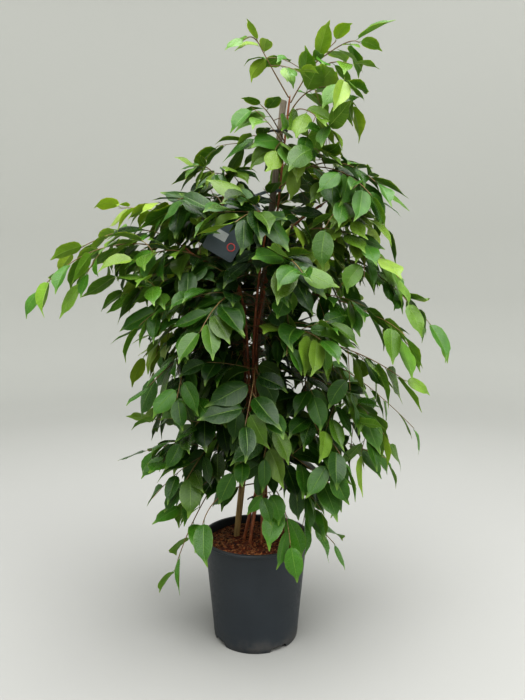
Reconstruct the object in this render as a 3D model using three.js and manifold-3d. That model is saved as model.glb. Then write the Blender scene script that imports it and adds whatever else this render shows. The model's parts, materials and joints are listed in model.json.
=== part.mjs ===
// Weeping fig in a round nursery pot: six slender stems tied together and to a split cane,
// with leafy sprays that arch out of the stems and hang at their ends.
// Millimetres, +Z up, origin at the centre of the pot's underside, front of the plant towards -Y.
import * as THREE from "three";
import { mergeVertices } from "three/addons/utils/BufferGeometryUtils.js";
import Module from "manifold-3d";

const wasm = await Module();
wasm.setup();

// Driving dimensions
const CLEARANCE = 0.3; // gap between pieces that touch
const POT = {
  height: 196,
  rimRadius: 104, // outside of the turned-out rim
  rimDepth: 5, // height of the rim's outer face
  rimEdge: 0.9, // cut taken off the rim's edges
  wallTopRadius: 98.5, // outside of the wall under the rim
  baseRadius: 80,
  wall: 1.8,
  floor: 2,
  padRadius: 38, // flat middle of the floor, level with the foot
  footWidth: 8, // foot ring under the wall
  footHeight: 10, // how far the drained channel is raised over the ground
  slope: 8, // run of the channel's slanted sides
  segments: 28,
};
const NOTCH = {
  count: 4,
  firstAngle: -57, // degrees from +X, towards the camera's right
  width: 30,
  flare: 4, // how much wider each side is at the ground
  height: 8.5,
  beyond: 4, // how far the cut runs past the wall's outside
};
const DRAIN = { count: 6, radius: 5.5, ringRadius: 57, sides: 6 }; // holes through the channel
const SOIL = {
  level: 183,
  edgeDrop: 2.2, // how far the surface falls off at the wall
  lump: 2.2, // height of the lumps
  lumpRate: [0.13, 0.05, 0.17, 0.04], // turns of the lumps' waves per millimetre
  crown: 2, // rise of the middle over the edge
  rings: 4,
  wallGap: 0.6,
};
const STAKE = {
  foot: [-38, 17], // x at soil level, and y
  top: [52, 17],
  width: 12,
  depth: 5,
  base: 120,
  height: 1014,
};
const STEM = { soilRadius: 3.3, tipRadius: 2, sides: 6, steps: 14, holeGap: 0.4, holeDepth: 1 };
const TIE = {
  bundleLevels: [268, 321], // two ties round the six stems
  bundleHeight: 3,
  bundleRoom: 0.4, // between the band and the outermost stem
  sides: 12,
  topLevel: 957, // the tie that holds the leader to the cane
  topHeight: 4,
  caneRoom: 0.7, // between a band and the cane
  cornerCut: 0.6,
  thickness: 1.6,
  sunk: 0.9, // how deep a loose end or a strap starts in its band
  stripHalf: 0.6, // half the thickness of a loose end or a strap
};
const TWIG = { rootRadius: 1.8, tipRadius: 1.2, sides: 3, step: 72, rootStep: 0.1, rootMost: 20 };
const LEAF = {
  rootHalf: 0.45, // half width of the leaf stalk where it is sunk in the twig
  rootTop: 0.27, // height of the stalk's upper face over the twig's middle
  keel: 1.9, // depth of the blade under its rib
  halfWidth: 0.225, // of the leaf's whole length
  base: 0.27, // place of the section where the blade is full near its base
  baseWidth: 0.88, // of the half width
  shoulder: 0.72, // place of the section where the drip tip starts
  shoulderWidth: 0.84, // of the half width
  endSize: 0.8, // of the others: the leaf at a twig's end
  tries: 12, // other poses tried for a leaf that would cross something
};
// Room kept round a leaf for other sprays, and for its own spray past the share at its stalk
const LEAF_ROOM = { others: 0.8, othersFrom: 0.02, own: 0.2, ownFrom: 0.15 };
// How a leaf may sit: each pair is the range that its draw falls in
const POSE = {
  length: [0.7, 0.96], // of its spray's leaf length
  sideways: [0.4, 0.95], // lean out to its side of the twig
  endSideways: 0.15, // the same for the leaf at the twig's end
  down: [0.35, -0.75], // slope of its inner part
  hang: [0.1, -1.15], // how much more its outer part hangs
  twist: [-1.1, 1.1], // how far its face turns to one side
  forwards: [0.3, 0.95], // lean along its twig
  bend: 0.45, // place of the bend along the leaf
  outward: 0.6, // how far its face turns away from the plant's middle
};
const TAG = {
  width: 60,
  length: 108,
  thickness: 0.9,
  neck: 8, // length of the taper up to the strap
  strapWidth: 7,
  strapLap: 2, // how far the strap runs down into the plate
  top: [-14, -62, 818], // middle of the plate's upper edge
  lean: 30, // degrees that the plate's rows fall to the right
  bandLevel: 848,
  bandHeight: 5,
};

// Where the stems run, hand-placed: in the soil, through the two lower ties, then apart
const STEMS = {
  leader: [
    [12, 21, 120], [12, 21, 183], [13, 8, 268], [17, 8, 321], [3, 8, 408], [-4, 7, 523],
    [2, 5, 600], [20, 5, 690], [34, 9, 750], [45, 14, 850], [56, 16, 957], [64, 17, 1022],
  ],
  right: [
    [24, 0, 120], [24, 0, 183], [18, -1, 268], [22, -1, 321], [8, -1, 408], [1, -1, 523],
    [4, -3, 590], [14, -6, 650], [28, -8, 705], [49, -6, 756], [80, 0, 790], [130, 10, 826],
  ],
  front: [
    [12, -21, 120], [12, -21, 183], [13, -10, 268], [17, -10, 321], [3, -10, 408],
    [-4, -10, 523], [-2, -16, 590], [4, -34, 660], [12, -60, 720], [18, -88, 760],
  ],
  left_low: [
    [-12, -21, 120], [-12, -21, 183], [3, -10, 268], [7, -10, 321], [-7, -10, 408],
    [-14, -10, 523], [-18, -12, 600], [-29, -14, 663], [-51, -16, 690], [-75, -18, 703],
    [-105, -20, 722], [-135, -22, 745],
  ],
  left_high: [
    [-24, 0, 120], [-24, 0, 183], [-2, -1, 268], [2, -1, 321], [-12, -1, 408],
    [-20, -1, 523], [-24, 2, 600], [-34, 8, 663], [-46, 12, 720], [-56, 12, 790], [-62, 10, 850],
  ],
  back: [
    [-12, 21, 120], [-12, 21, 183], [3, 8, 268], [7, 8, 321], [-7, 7, 408], [-14, 8, 523],
    [-18, 16, 590], [-22, 36, 650], [-20, 62, 700], [-12, 95, 745], [0, 125, 775],
  ],
};

// Leafy sprays: the stem and height each one leaves from, the top of its arch and its end,
// the share of it that is bare, its leaves and their length, and side shoots that fork off it
const SPRAYS = [
  { name: "top_left", stem: "leader", height: 1017, over: [27, 0, 1068], to: [5, -20, 1100],
    bare: 0.45, leaves: 4, size: 66, young: 0.7,
    forks: [{ from: 0.8, over: [-2, -26, 1104], to: [-18, -32, 1100], bare: 0.4, leaves: 2 }] },
  { name: "top_right", stem: "leader", height: 1008, over: [102, 6, 1064], to: [142, -8, 1104],
    bare: 0.1, leaves: 5, size: 84, young: 0.4,
    forks: [
      { from: 0.62, over: [156, -16, 1098], to: [182, -20, 1100], bare: 0.35, leaves: 4 },
      { from: 0.36, over: [132, -20, 1064], to: [168, -34, 1056], bare: 0.1, leaves: 4 },
    ] },
  { name: "crown_right", stem: "leader", height: 984, over: [98, -16, 1018], to: [148, -36, 1014],
    bare: 0.3, leaves: 6, size: 98, young: 0.35,
    forks: [{ from: 0.8, over: [152, -48, 1002], to: [166, -56, 986], bare: 0.3, leaves: 2 }] },
  { name: "crown_front", stem: "leader", height: 967, over: [80, -44, 978], to: [124, -76, 938],
    bare: 0.3, leaves: 6, size: 86, young: 0.5 },
  { name: "crown_left", stem: "leader", height: 938, over: [32, -20, 966], to: [12, -40, 984],
    bare: 0.4, leaves: 3, size: 82, young: 0.2 },
  { name: "crown_low_left", stem: "leader", height: 878, over: [22, -26, 920], to: [-2, -46, 932],
    bare: 0.4, leaves: 4, size: 88, young: 0.1 },
  { name: "crown_centre", stem: "leader", height: 900, over: [50, -36, 922], to: [36, -74, 904],
    bare: 0.2, leaves: 6, size: 98, young: 0.15 },
  { name: "crown_back", stem: "leader", height: 888, over: [70, 66, 908], to: [104, 108, 872],
    bare: 0.3, leaves: 6, size: 92, young: 0.3 },
  { name: "shoulder_right", stem: "leader", height: 856, over: [138, -30, 890], to: [222, -76, 832],
    bare: 0.3, leaves: 8, size: 98, young: 0.15,
    forks: [{ from: 0.3, over: [150, -78, 862], to: [190, -118, 820], bare: 0.2, leaves: 6 }] },
  { name: "left_top", stem: "left_high", height: 842, over: [-80, 0, 880], to: [-108, -10, 888],
    bare: 0.3, leaves: 6, size: 68, young: 0.4,
    forks: [{ from: 0.2, over: [-50, -20, 872], to: [-36, -40, 872], bare: 0.3, leaves: 4 }] },
  { name: "left_big", stem: "left_high", height: 795, over: [-96, -40, 822], to: [-138, -66, 806],
    bare: 0.3, leaves: 7, size: 100, young: 0.1 },
  { name: "left_back_high", stem: "left_high", height: 815, over: [-84, 66, 846], to: [-112, 118, 812],
    bare: 0.3, leaves: 6, size: 92, young: 0.3 },
  { name: "left_arch", stem: "left_high", height: 752, over: [-155, 4, 802], to: [-240, -28, 810],
    bare: 0.35, leaves: 8, size: 88, young: 0.75 },
  { name: "left_reach", stem: "left_low", height: 738, over: [-225, 14, 776], to: [-342, 20, 736],
    bare: 0.2, leaves: 9, size: 94, young: 0.45 },
  { name: "left_long", stem: "left_low", height: 716, over: [-245, -56, 742], to: [-372, -78, 664],
    bare: 0.35, leaves: 9, size: 96, young: 0.2 },
  { name: "left_bright", stem: "left_low", height: 700, over: [-130, -78, 730], to: [-194, -124, 712],
    bare: 0.25, leaves: 7, size: 96, young: 0.3 },
  { name: "left_mid_back", stem: "left_high", height: 700, over: [-140, 44, 714], to: [-224, 66, 704],
    bare: 0.3, leaves: 5, size: 92, young: 0.1 },
  { name: "left_mid", stem: "left_low", height: 666, over: [-128, -40, 684], to: [-214, -56, 662],
    bare: 0.3, leaves: 7, size: 94, young: 0.1 },
  { name: "left_hang", stem: "left_low", height: 636, over: [-112, -86, 650], to: [-190, -120, 606],
    bare: 0.3, leaves: 7, size: 96, young: 0.15 },
  { name: "left_olive", stem: "left_high", height: 610, over: [-130, 26, 604], to: [-214, 34, 540],
    bare: 0.3, leaves: 8, size: 92, young: 0.55 },
  { name: "left_lower_front", stem: "left_low", height: 560, over: [-100, -70, 560],
    to: [-180, -104, 500], bare: 0.3, leaves: 8, size: 92, young: 0.1 },
  { name: "left_lower", stem: "left_high", height: 520, over: [-104, 20, 508], to: [-194, 28, 414],
    bare: 0.3, leaves: 8, size: 88, young: 0.25 },
  { name: "low_left_hook", stem: "left_low", height: 470, over: [-64, -76, 462],
    to: [-124, -120, 408], bare: 0.3, leaves: 7, size: 88, young: 0.1 },
  { name: "low_left", stem: "left_high", height: 404, over: [-104, -4, 386], to: [-204, -2, 360],
    bare: 0.3, leaves: 7, size: 90, young: 0.1,
    forks: [{ from: 0.3, over: [-96, -58, 366], to: [-126, -96, 322], bare: 0.15, leaves: 5 }] },
  { name: "pot_left", stem: "left_high", height: 338, over: [-72, -16, 318], to: [-136, -34, 262],
    bare: 0.3, leaves: 6, size: 86, young: 0,
    forks: [{ from: 0.45, over: [-112, -60, 246], to: [-146, -74, 158], bare: 0.2, leaves: 5 }] },
  { name: "pot_front_left", stem: "front", height: 300, over: [-62, -92, 300], to: [-94, -112, 240],
    bare: 0.5, leaves: 3, size: 112, young: 0.05 },
  { name: "pot_front_right", stem: "right", height: 296, over: [46, -84, 292], to: [60, -138, 236],
    bare: 0.4, leaves: 4, size: 96, young: 0.1 },
  { name: "pot_right", stem: "right", height: 336, over: [74, -36, 312], to: [118, -62, 268],
    bare: 0.3, leaves: 5, size: 94, young: 0.1,
    forks: [{ from: 0.35, over: [92, -6, 252], to: [148, -14, 184], bare: 0.35, leaves: 5 }] },
  { name: "right_upper", stem: "right", height: 818, over: [158, 14, 836], to: [200, 20, 806],
    bare: 0.2, leaves: 6, size: 84, young: 0.7,
    forks: [{ from: 0.15, over: [146, -40, 820], to: [168, -84, 784], bare: 0.2, leaves: 5 }] },
  { name: "right_arch", stem: "right", height: 760, over: [150, -70, 764], to: [240, -112, 684],
    bare: 0.3, leaves: 9, size: 90, young: 0.4 },
  { name: "right_long", stem: "right", height: 726, over: [190, -24, 708], to: [328, -48, 585],
    bare: 0.3, leaves: 10, size: 90, young: 0.35 },
  { name: "right_mid", stem: "right", height: 664, over: [160, -80, 640], to: [260, -104, 572],
    bare: 0.3, leaves: 8, size: 92, young: 0.2 },
  { name: "right_pale", stem: "front", height: 598, over: [62, -126, 600], to: [104, -176, 584],
    bare: 0.3, leaves: 7, size: 102, young: 0.5 },
  { name: "right_low_long", stem: "right", height: 590, over: [146, -96, 566], to: [250, -126, 512],
    bare: 0.3, leaves: 8, size: 100, young: 0.3 },
  { name: "right_back_long", stem: "leader", height: 560, over: [150, 62, 522], to: [318, 76, 388],
    bare: 0.3, leaves: 8, size: 84, young: 0.2,
    forks: [{ from: 0.35, over: [160, 100, 470], to: [206, 126, 396], bare: 0.1, leaves: 5 }] },
  { name: "right_hang", stem: "right", height: 520, over: [142, -56, 490], to: [234, -84, 398],
    bare: 0.3, leaves: 8, size: 98, young: 0.25,
    forks: [{ from: 0.3, over: [98, -92, 446], to: [138, -114, 376], bare: 0.1, leaves: 6 }] },
  { name: "low_right", stem: "right", height: 430, over: [130, -8, 392], to: [242, -24, 352],
    bare: 0.3, leaves: 7, size: 92, young: 0.1 },
  { name: "low_right_front", stem: "front", height: 392, over: [62, -84, 374], to: [126, -120, 334],
    bare: 0.3, leaves: 6, size: 94, young: 0 },
  { name: "front_high", stem: "front", height: 756, over: [10, -132, 788], to: [-26, -184, 768],
    bare: 0.2, leaves: 7, size: 98, young: 0.25 },
  { name: "front_mid", stem: "front", height: 690, over: [44, -130, 716], to: [76, -204, 684],
    bare: 0.3, leaves: 7, size: 96, young: 0.15 },
  { name: "front_left", stem: "front", height: 648, over: [-42, -128, 654], to: [-82, -196, 600],
    bare: 0.3, leaves: 7, size: 94, young: 0.1 },
  { name: "front_low", stem: "front", height: 520, over: [0, -112, 522], to: [-14, -180, 450],
    bare: 0.3, leaves: 6, size: 100, young: 0.4,
    forks: [{ from: 0.3, over: [22, -96, 452], to: [16, -142, 388], bare: 0.15, leaves: 4 }] },
  { name: "back_high", stem: "back", height: 770, over: [0, 162, 796], to: [-14, 206, 772],
    bare: 0.2, leaves: 5, size: 92, young: 0.3 },
  { name: "back_right", stem: "back", height: 722, over: [86, 132, 736], to: [160, 172, 684],
    bare: 0.3, leaves: 7, size: 92, young: 0.2 },
  { name: "back_left", stem: "back", height: 690, over: [-90, 114, 706], to: [-166, 156, 654],
    bare: 0.3, leaves: 6, size: 92, young: 0.15 },
  { name: "back_mid", stem: "back", height: 640, over: [28, 130, 606], to: [52, 192, 530],
    bare: 0.3, leaves: 6, size: 92, young: 0.1 },
  { name: "back_low", stem: "back", height: 520, over: [-74, 104, 500], to: [-138, 144, 418],
    bare: 0.3, leaves: 5, size: 90, young: 0.1,
    forks: [{ from: 0.3, over: [-30, 118, 430], to: [4, 160, 352], bare: 0.1, leaves: 5 }] },
];

const FINISHES = {
  pot: { color: 0x2f3437, roughness: 0.55 },
  soil: { color: 0x5a3220, roughness: 0.95 },
  cane: { color: 0x8b8073, roughness: 0.75 },
  bark: { color: 0x6b4029, roughness: 0.7 },
  tie: { color: 0x17181a, roughness: 0.5 },
  tag: { color: 0x4a5560, roughness: 0.45 },
};
const LEAF_COLOURS = { old: 0x2c5a16, young: 0x86a626, roughness: 0.45 };

const UP = new THREE.Vector3(0, 0, 1);
const FRONT = new THREE.Vector3(0, -1, 0);
const point = (place) => new THREE.Vector3(...place);
const radians = THREE.MathUtils.degToRad;
const lerp = THREE.MathUtils.lerp;

// A repeatable draw between 0 and 1 for one leaf and one use of it
function draw(seed, use) {
  const wave = Math.sin(seed * 127.1 + use * 311.7) * 43758.5453;
  return wave - Math.floor(wave);
}

const drawIn = (range, seed, use) => lerp(range[0], range[1], draw(seed, use));

function solidOf(geometry) {
  const loose = geometry.index ? geometry.toNonIndexed() : geometry.clone();
  loose.deleteAttribute("normal");
  loose.deleteAttribute("uv");
  const merged = mergeVertices(loose, 1e-4);
  const vertProperties = merged.getAttribute("position").array;
  const triVerts = new Uint32Array(merged.index.array);
  return new wasm.Manifold(new wasm.Mesh({ numProp: 3, vertProperties, triVerts }));
}

function geometryOf(solid) {
  const { vertProperties, triVerts } = solid.getMesh();
  const geometry = new THREE.BufferGeometry();
  geometry.setAttribute("position", new THREE.BufferAttribute(vertProperties, 3));
  geometry.setIndex(new THREE.BufferAttribute(triVerts, 1));
  geometry.computeVertexNormals();
  return geometry;
}

// Closed surface through rings of points; a last ring of one point ends it in a tip.
// The diagonals leave from the even corners, so that a blade's two faces are split alike.
function loft(rings) {
  const sides = rings[0].length;
  const faces = [];
  for (let ring = 1; ring < rings.length; ring++) {
    for (let side = 0; side < sides; side++) {
      const next = (side + 1) % sides;
      const a = (ring - 1) * sides + side;
      const b = (ring - 1) * sides + next;
      if (rings[ring].length === 1) {
        faces.push([a, b, ring * sides]);
        continue;
      }
      const c = ring * sides + next;
      const d = ring * sides + side;
      faces.push(...(side % 2 === 0 ? [[a, b, c], [a, c, d]] : [[a, b, d], [b, c, d]]));
    }
  }
  for (let corner = 2; corner < sides; corner++) {
    faces.push([0, corner, corner - 1]);
    if (rings.at(-1).length > 1) {
      const first = (rings.length - 1) * sides;
      faces.push([first, first + corner - 1, first + corner]);
    }
  }
  const geometry = new THREE.BufferGeometry();
  geometry.setFromPoints(rings.flat());
  geometry.setIndex(faces.flat());
  return geometry;
}

// Direction of a path of points at one of them
function directionAt(path, index) {
  const before = path[Math.max(index - 1, 0)];
  const after = path[Math.min(index + 1, path.length - 1)];
  return after.clone().sub(before).normalize();
}

// Tapered rod along a path, with the first corner of each section towards the given side
function rod(path, radiusAt, sides, firstCorner) {
  const rings = path.map((centre, index) => {
    const along = directionAt(path, index);
    const out = firstCorner.clone().addScaledVector(along, -firstCorner.dot(along)).normalize();
    const across = new THREE.Vector3().crossVectors(along, out);
    const radius = radiusAt(index / (path.length - 1));
    return Array.from({ length: sides }, (_, side) => {
      const angle = (2 * Math.PI * side) / sides;
      return centre.clone()
        .addScaledVector(out, radius * Math.cos(angle))
        .addScaledVector(across, radius * Math.sin(angle));
    });
  });
  return loft(rings);
}

function turned(profile) {
  const outline = profile.map(([radius, height]) => new THREE.Vector2(radius, height));
  return new THREE.LatheGeometry(outline, POT.segments).rotateX(Math.PI / 2);
}

function extruded(outline, depth, holes = []) {
  const shape = new THREE.Shape(outline.map(([x, y]) => new THREE.Vector2(x, y)));
  for (const hole of holes) {
    shape.holes.push(new THREE.Path(hole.map(([x, y]) => new THREE.Vector2(x, y))));
  }
  return new THREE.ExtrudeGeometry(shape, { depth, bevelEnabled: false });
}

function wallRadius(height) {
  return lerp(POT.baseRadius, POT.wallTopRadius, height / (POT.height - POT.rimDepth));
}

// Pot's underside: a flat middle, a raised channel and a foot ring
function undersideContour() {
  const footStart = POT.baseRadius - POT.footWidth;
  return [
    [0, 0],
    [POT.padRadius, 0],
    [POT.padRadius + POT.slope, POT.footHeight],
    [footStart - POT.slope, POT.footHeight],
    [footStart, 0],
  ];
}

// Surface over the underside, at a height over its middle: it steps up once and runs to the wall
function floorContour(lift, inset) {
  const height = POT.footHeight + lift;
  return [
    [0, lift],
    [POT.padRadius - lift, lift],
    [POT.padRadius + POT.slope - lift, height],
    [wallRadius(height) - inset, height],
  ];
}

function makePot() {
  const rimUnder = POT.height - POT.rimDepth;
  const innerTop = POT.wallTopRadius - POT.wall;
  const profile = [
    ...undersideContour(),
    [POT.baseRadius, 0],
    [POT.wallTopRadius, rimUnder],
    [POT.rimRadius - POT.rimEdge, rimUnder],
    [POT.rimRadius, rimUnder + POT.rimEdge],
    [POT.rimRadius, POT.height - POT.rimEdge],
    [POT.rimRadius - POT.rimEdge, POT.height],
    [innerTop + POT.rimEdge, POT.height],
    [innerTop, rimUnder],
    ...floorContour(POT.floor, POT.wall).reverse(),
  ];
  let pot = solidOf(turned(profile));
  for (let i = 0; i < NOTCH.count; i++) {
    const angle = radians(NOTCH.firstAngle + (360 / NOTCH.count) * i);
    pot = pot.subtract(footNotch(angle));
  }
  for (let i = 0; i < DRAIN.count; i++) {
    const angle = (2 * Math.PI * (i + 0.5)) / DRAIN.count;
    const drill = new THREE.CylinderGeometry(DRAIN.radius, DRAIN.radius, 4 * POT.floor, DRAIN.sides);
    drill.rotateX(Math.PI / 2);
    const reach = DRAIN.ringRadius;
    drill.translate(reach * Math.cos(angle), reach * Math.sin(angle), POT.footHeight);
    pot = pot.subtract(solidOf(drill));
  }
  return pot;
}

// Slanted notch through the foot ring, open towards the channel
function footNotch(angle) {
  const half = NOTCH.width / 2;
  const underGround = -1;
  const outline = [
    [-half - NOTCH.flare, underGround],
    [half + NOTCH.flare, underGround],
    [half, NOTCH.height],
    [-half, NOTCH.height],
  ];
  const depth = POT.footWidth + POT.slope + 1.5 * NOTCH.beyond;
  const cut = extruded(outline, depth);
  cut.rotateX(Math.PI / 2);
  cut.rotateZ(Math.PI / 2);
  cut.translate(POT.baseRadius + NOTCH.beyond - depth, 0, 0);
  cut.rotateZ(angle);
  return solidOf(cut);
}

// Soil: fills the pot with a gap all round, its top broken up in low lumps
function makeSoil(holes) {
  const inset = POT.wall + SOIL.wallGap;
  const edge = wallRadius(SOIL.level) - inset;
  const bottom = POT.floor + CLEARANCE;
  const edgeLevel = SOIL.level - SOIL.edgeDrop;
  const profile = [
    ...floorContour(bottom, inset),
    [edge, edgeLevel],
  ];
  for (let ring = SOIL.rings - 1; ring > 0; ring--) {
    profile.push([(edge * ring) / SOIL.rings, SOIL.level]);
  }
  profile.push([0, SOIL.level]);
  const geometry = turned(profile);
  const spots = geometry.getAttribute("position");
  const [a, b, c, d] = SOIL.lumpRate;
  for (let i = 0; i < spots.count; i++) {
    if (spots.getZ(i) < edgeLevel - 1) continue;
    const x = spots.getX(i);
    const y = spots.getY(i);
    const lumps = Math.sin(x * a + y * b) * Math.cos(y * c - x * d);
    const crown = SOIL.crown * (1 - (x * x + y * y) / (edge * edge));
    spots.setZ(i, spots.getZ(i) + SOIL.lump * lumps + crown);
  }
  return holes.reduce((soil, hole) => soil.subtract(hole), solidOf(geometry));
}

// Split cane: flat at the back, rounded at the front, leaning along the stems
function makeStake(extra = 0) {
  const half = STAKE.width / 2 + extra;
  const depth = STAKE.depth / 2 + extra;
  const outline = [
    [-half, depth], [-half, -depth * 0.2], [-half * 0.6, -depth * 0.8], [0, -depth],
    [half * 0.6, -depth * 0.8], [half, -depth * 0.2], [half, depth],
  ];
  const length = STAKE.height - STAKE.base;
  const cane = extruded(outline, length + 2 * extra);
  const run = (STAKE.top[0] - STAKE.foot[0]) / (STAKE.height - SOIL.level);
  const shear = new THREE.Matrix4().makeShear(0, 0, 0, 0, run, 0);
  cane.applyMatrix4(shear);
  cane.translate(stakeCentre(STAKE.base - extra), STAKE.foot[1], STAKE.base - extra);
  return solidOf(cane);
}

function stakeCentre(height) {
  const share = (height - SOIL.level) / (STAKE.height - SOIL.level);
  return lerp(STAKE.foot[0], STAKE.top[0], share);
}

// A stem as a path of points along its smooth curve
function stemPath(name) {
  const curve = new THREE.CatmullRomCurve3(STEMS[name].map(point), false, "catmullrom", 0.5);
  return curve.getPoints(STEM.steps);
}

const stemRadius = (share) => lerp(STEM.soilRadius, STEM.tipRadius, share);

function makeStem(name) {
  return solidOf(rod(stemPath(name), stemRadius, STEM.sides, FRONT));
}

// The hole in the soil is the stem itself with a gap round it and under it
function stemHole(name) {
  const path = stemPath(name);
  path[0].z -= STEM.holeDepth;
  return solidOf(rod(path, (share) => stemRadius(share) + STEM.holeGap, STEM.sides, FRONT));
}

// Where a stem passes a height: the point, its direction there and its radius
function stemAt(name, height) {
  const path = stemPath(name);
  const above = path.findIndex((spot) => spot.z >= height);
  const low = path[above - 1];
  const along = path[above].clone().sub(low);
  const share = (height - low.z) / along.z;
  const centre = low.clone().addScaledVector(along, share);
  return { centre, along: along.normalize(), radius: stemRadius((above - 1 + share) / STEM.steps) };
}

// Twig: a parabola from its root over the top of its arch to its end, as a path of points
function twigPath(root, over, to) {
  const control = over.clone().multiplyScalar(2);
  control.addScaledVector(root, -0.5).addScaledVector(to, -0.5);
  const steps = Math.max(3, Math.ceil((root.distanceTo(over) + over.distanceTo(to)) / TWIG.step));
  return new THREE.QuadraticBezierCurve3(root, control, to).getPoints(steps);
}

// The point at a share of a path, and the direction of the stretch that it is on
function onPath(path, share) {
  const place = share * (path.length - 1);
  const index = Math.min(Math.floor(place), path.length - 2);
  const along = path[index + 1].clone().sub(path[index]);
  const root = path[index].clone().addScaledVector(along, place - index);
  return { root, along: along.normalize() };
}

function twigSolid(path, extra = 0) {
  const radiusAt = (share) => lerp(TWIG.rootRadius, TWIG.tipRadius, share) + extra;
  return solidOf(rod(path, radiusAt, TWIG.sides, UP));
}

// A spray's main twig starts just clear of its stem, on the side that it grows to
function mainTwig(plan) {
  const { centre, along, radius } = stemAt(plan.stem, plan.height);
  const over = point(plan.over);
  const to = point(plan.to);
  const out = onPath(twigPath(centre, over, to), 0).along;
  out.addScaledVector(along, -out.dot(along)).normalize();
  const stemSolid = placed.find((other) => other.owner === "stem_" + plan.stem).solid;
  let reach = radius * 0.9;
  let path;
  do {
    path = twigPath(centre.clone().addScaledVector(out, reach), over, to);
    reach += TWIG.rootStep;
  } while (!twigSolid(path, CLEARANCE).intersect(stemSolid).isEmpty() && reach < TWIG.rootMost);
  return path;
}

// Pose of one leaf: its rib is a parabola that bends down, its face looks up and outwards
function leafPose(twig, share, side, seed, attempt, size) {
  const change = seed + attempt * 1000;
  const { root, along } = onPath(twig, share);
  const beside = new THREE.Vector3().crossVectors(along, UP).normalize().multiplyScalar(side);
  const length = size * drawIn(POSE.length, seed, 1);
  const sideways = share === 1 ? POSE.endSideways : drawIn(POSE.sideways, change, 2);
  const heading = along.clone().multiplyScalar(drawIn(POSE.forwards, change, 6));
  heading.addScaledVector(beside, sideways);
  heading.addScaledVector(UP, drawIn(POSE.down, change, 3)).normalize();
  const hanging = heading.clone().addScaledVector(UP, drawIn(POSE.hang, change, 4)).normalize();
  const bend = root.clone().addScaledVector(heading, length * POSE.bend);
  const tip = bend.clone().addScaledVector(hanging, length * (1 - POSE.bend));
  const outward = new THREE.Vector3(root.x, root.y, 0).normalize();
  const face = UP.clone().addScaledVector(outward, POSE.outward);
  face.addScaledVector(beside, drawIn(POSE.twist, change, 5));
  const chord = tip.clone().sub(root);
  const across = new THREE.Vector3().crossVectors(face, chord).normalize();
  return { rib: new THREE.QuadraticBezierCurve3(root, bend, tip), across, length };
}

// Blade: flat above and keeled below its rib, with two wide sections and a long drip tip
function bladeSolid({ rib, across, length }, first, room) {
  const half = length * LEAF.halfWidth;
  const sections = [
    [first, lerp(LEAF.rootHalf, half * LEAF.baseWidth, first / LEAF.base), LEAF.rootHalf],
    [LEAF.base, half * LEAF.baseWidth, LEAF.keel],
    [LEAF.shoulder, half * LEAF.shoulderWidth, LEAF.keel],
  ];
  const rings = sections.map(([share, width, keel]) => {
    const centre = rib.getPoint(share);
    const up = new THREE.Vector3().crossVectors(rib.getTangent(share), across).normalize();
    const top = share === 0 ? LEAF.rootTop : room;
    const edge = (direction) =>
      centre.clone().addScaledVector(across, direction * (width + room)).addScaledVector(up, top);
    return [edge(1), edge(-1), centre.clone().addScaledVector(up, -keel - room)];
  });
  const tip = rib.getPoint(1).addScaledVector(rib.getTangent(1), room);
  return solidOf(loft([...rings, [tip]]));
}

// Solids placed so far, each with its box, and whether a new one would cross any of them
const placed = [];

function place(owner, solid) {
  placed.push({ owner, solid, box: solid.boundingBox() });
}

function boxesMeet(a, b) {
  return [0, 1, 2].every((axis) => a.min[axis] < b.max[axis] && b.min[axis] < a.max[axis]);
}

function crosses(solid, except) {
  const box = solid.boundingBox();
  return placed.some(
    (other) =>
      other.owner !== except && boxesMeet(box, other.box) && !solid.intersect(other.solid).isEmpty(),
  );
}

// A leaf goes in the first pose that clears everything, or is left out
function growLeaf(owner, twig, share, side, seed, size) {
  const { others, othersFrom, own, ownFrom } = LEAF_ROOM;
  for (let attempt = 0; attempt <= LEAF.tries; attempt++) {
    const pose = leafPose(twig, share, side, seed, attempt, size);
    if (crosses(bladeSolid(pose, othersFrom, others), owner)) continue;
    if (crosses(bladeSolid(pose, ownFrom, own), "")) continue;
    return bladeSolid(pose, 0, 0);
  }
  return null;
}

function growSpray(plan, index, twigs) {
  const solids = twigs.map(twigSolid);
  const shoots = [plan, ...(plan.forks ?? [])];
  let seed = index * 64;
  shoots.forEach((shoot, order) => {
    for (let i = 0; i < shoot.leaves; i++) {
      const share = lerp(shoot.bare, 1, (i + 1) / shoot.leaves);
      const side = i % 2 === 0 ? 1 : -1;
      const last = i === shoot.leaves - 1;
      const size = plan.size * (last ? LEAF.endSize : 1);
      const leaf = growLeaf(plan.name, twigs[order], share, side, seed, size);
      seed += 1;
      if (!leaf) continue;
      place(plan.name, leaf);
      solids.push(leaf);
    }
  });
  return solids.reduce((whole, solid) => whole.add(solid));
}

function twigsOf(plan) {
  const main = mainTwig(plan);
  const forks = (plan.forks ?? []).map((fork) =>
    twigPath(onPath(main, fork.from).root, point(fork.over), point(fork.to)),
  );
  return [main, ...forks];
}

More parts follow.
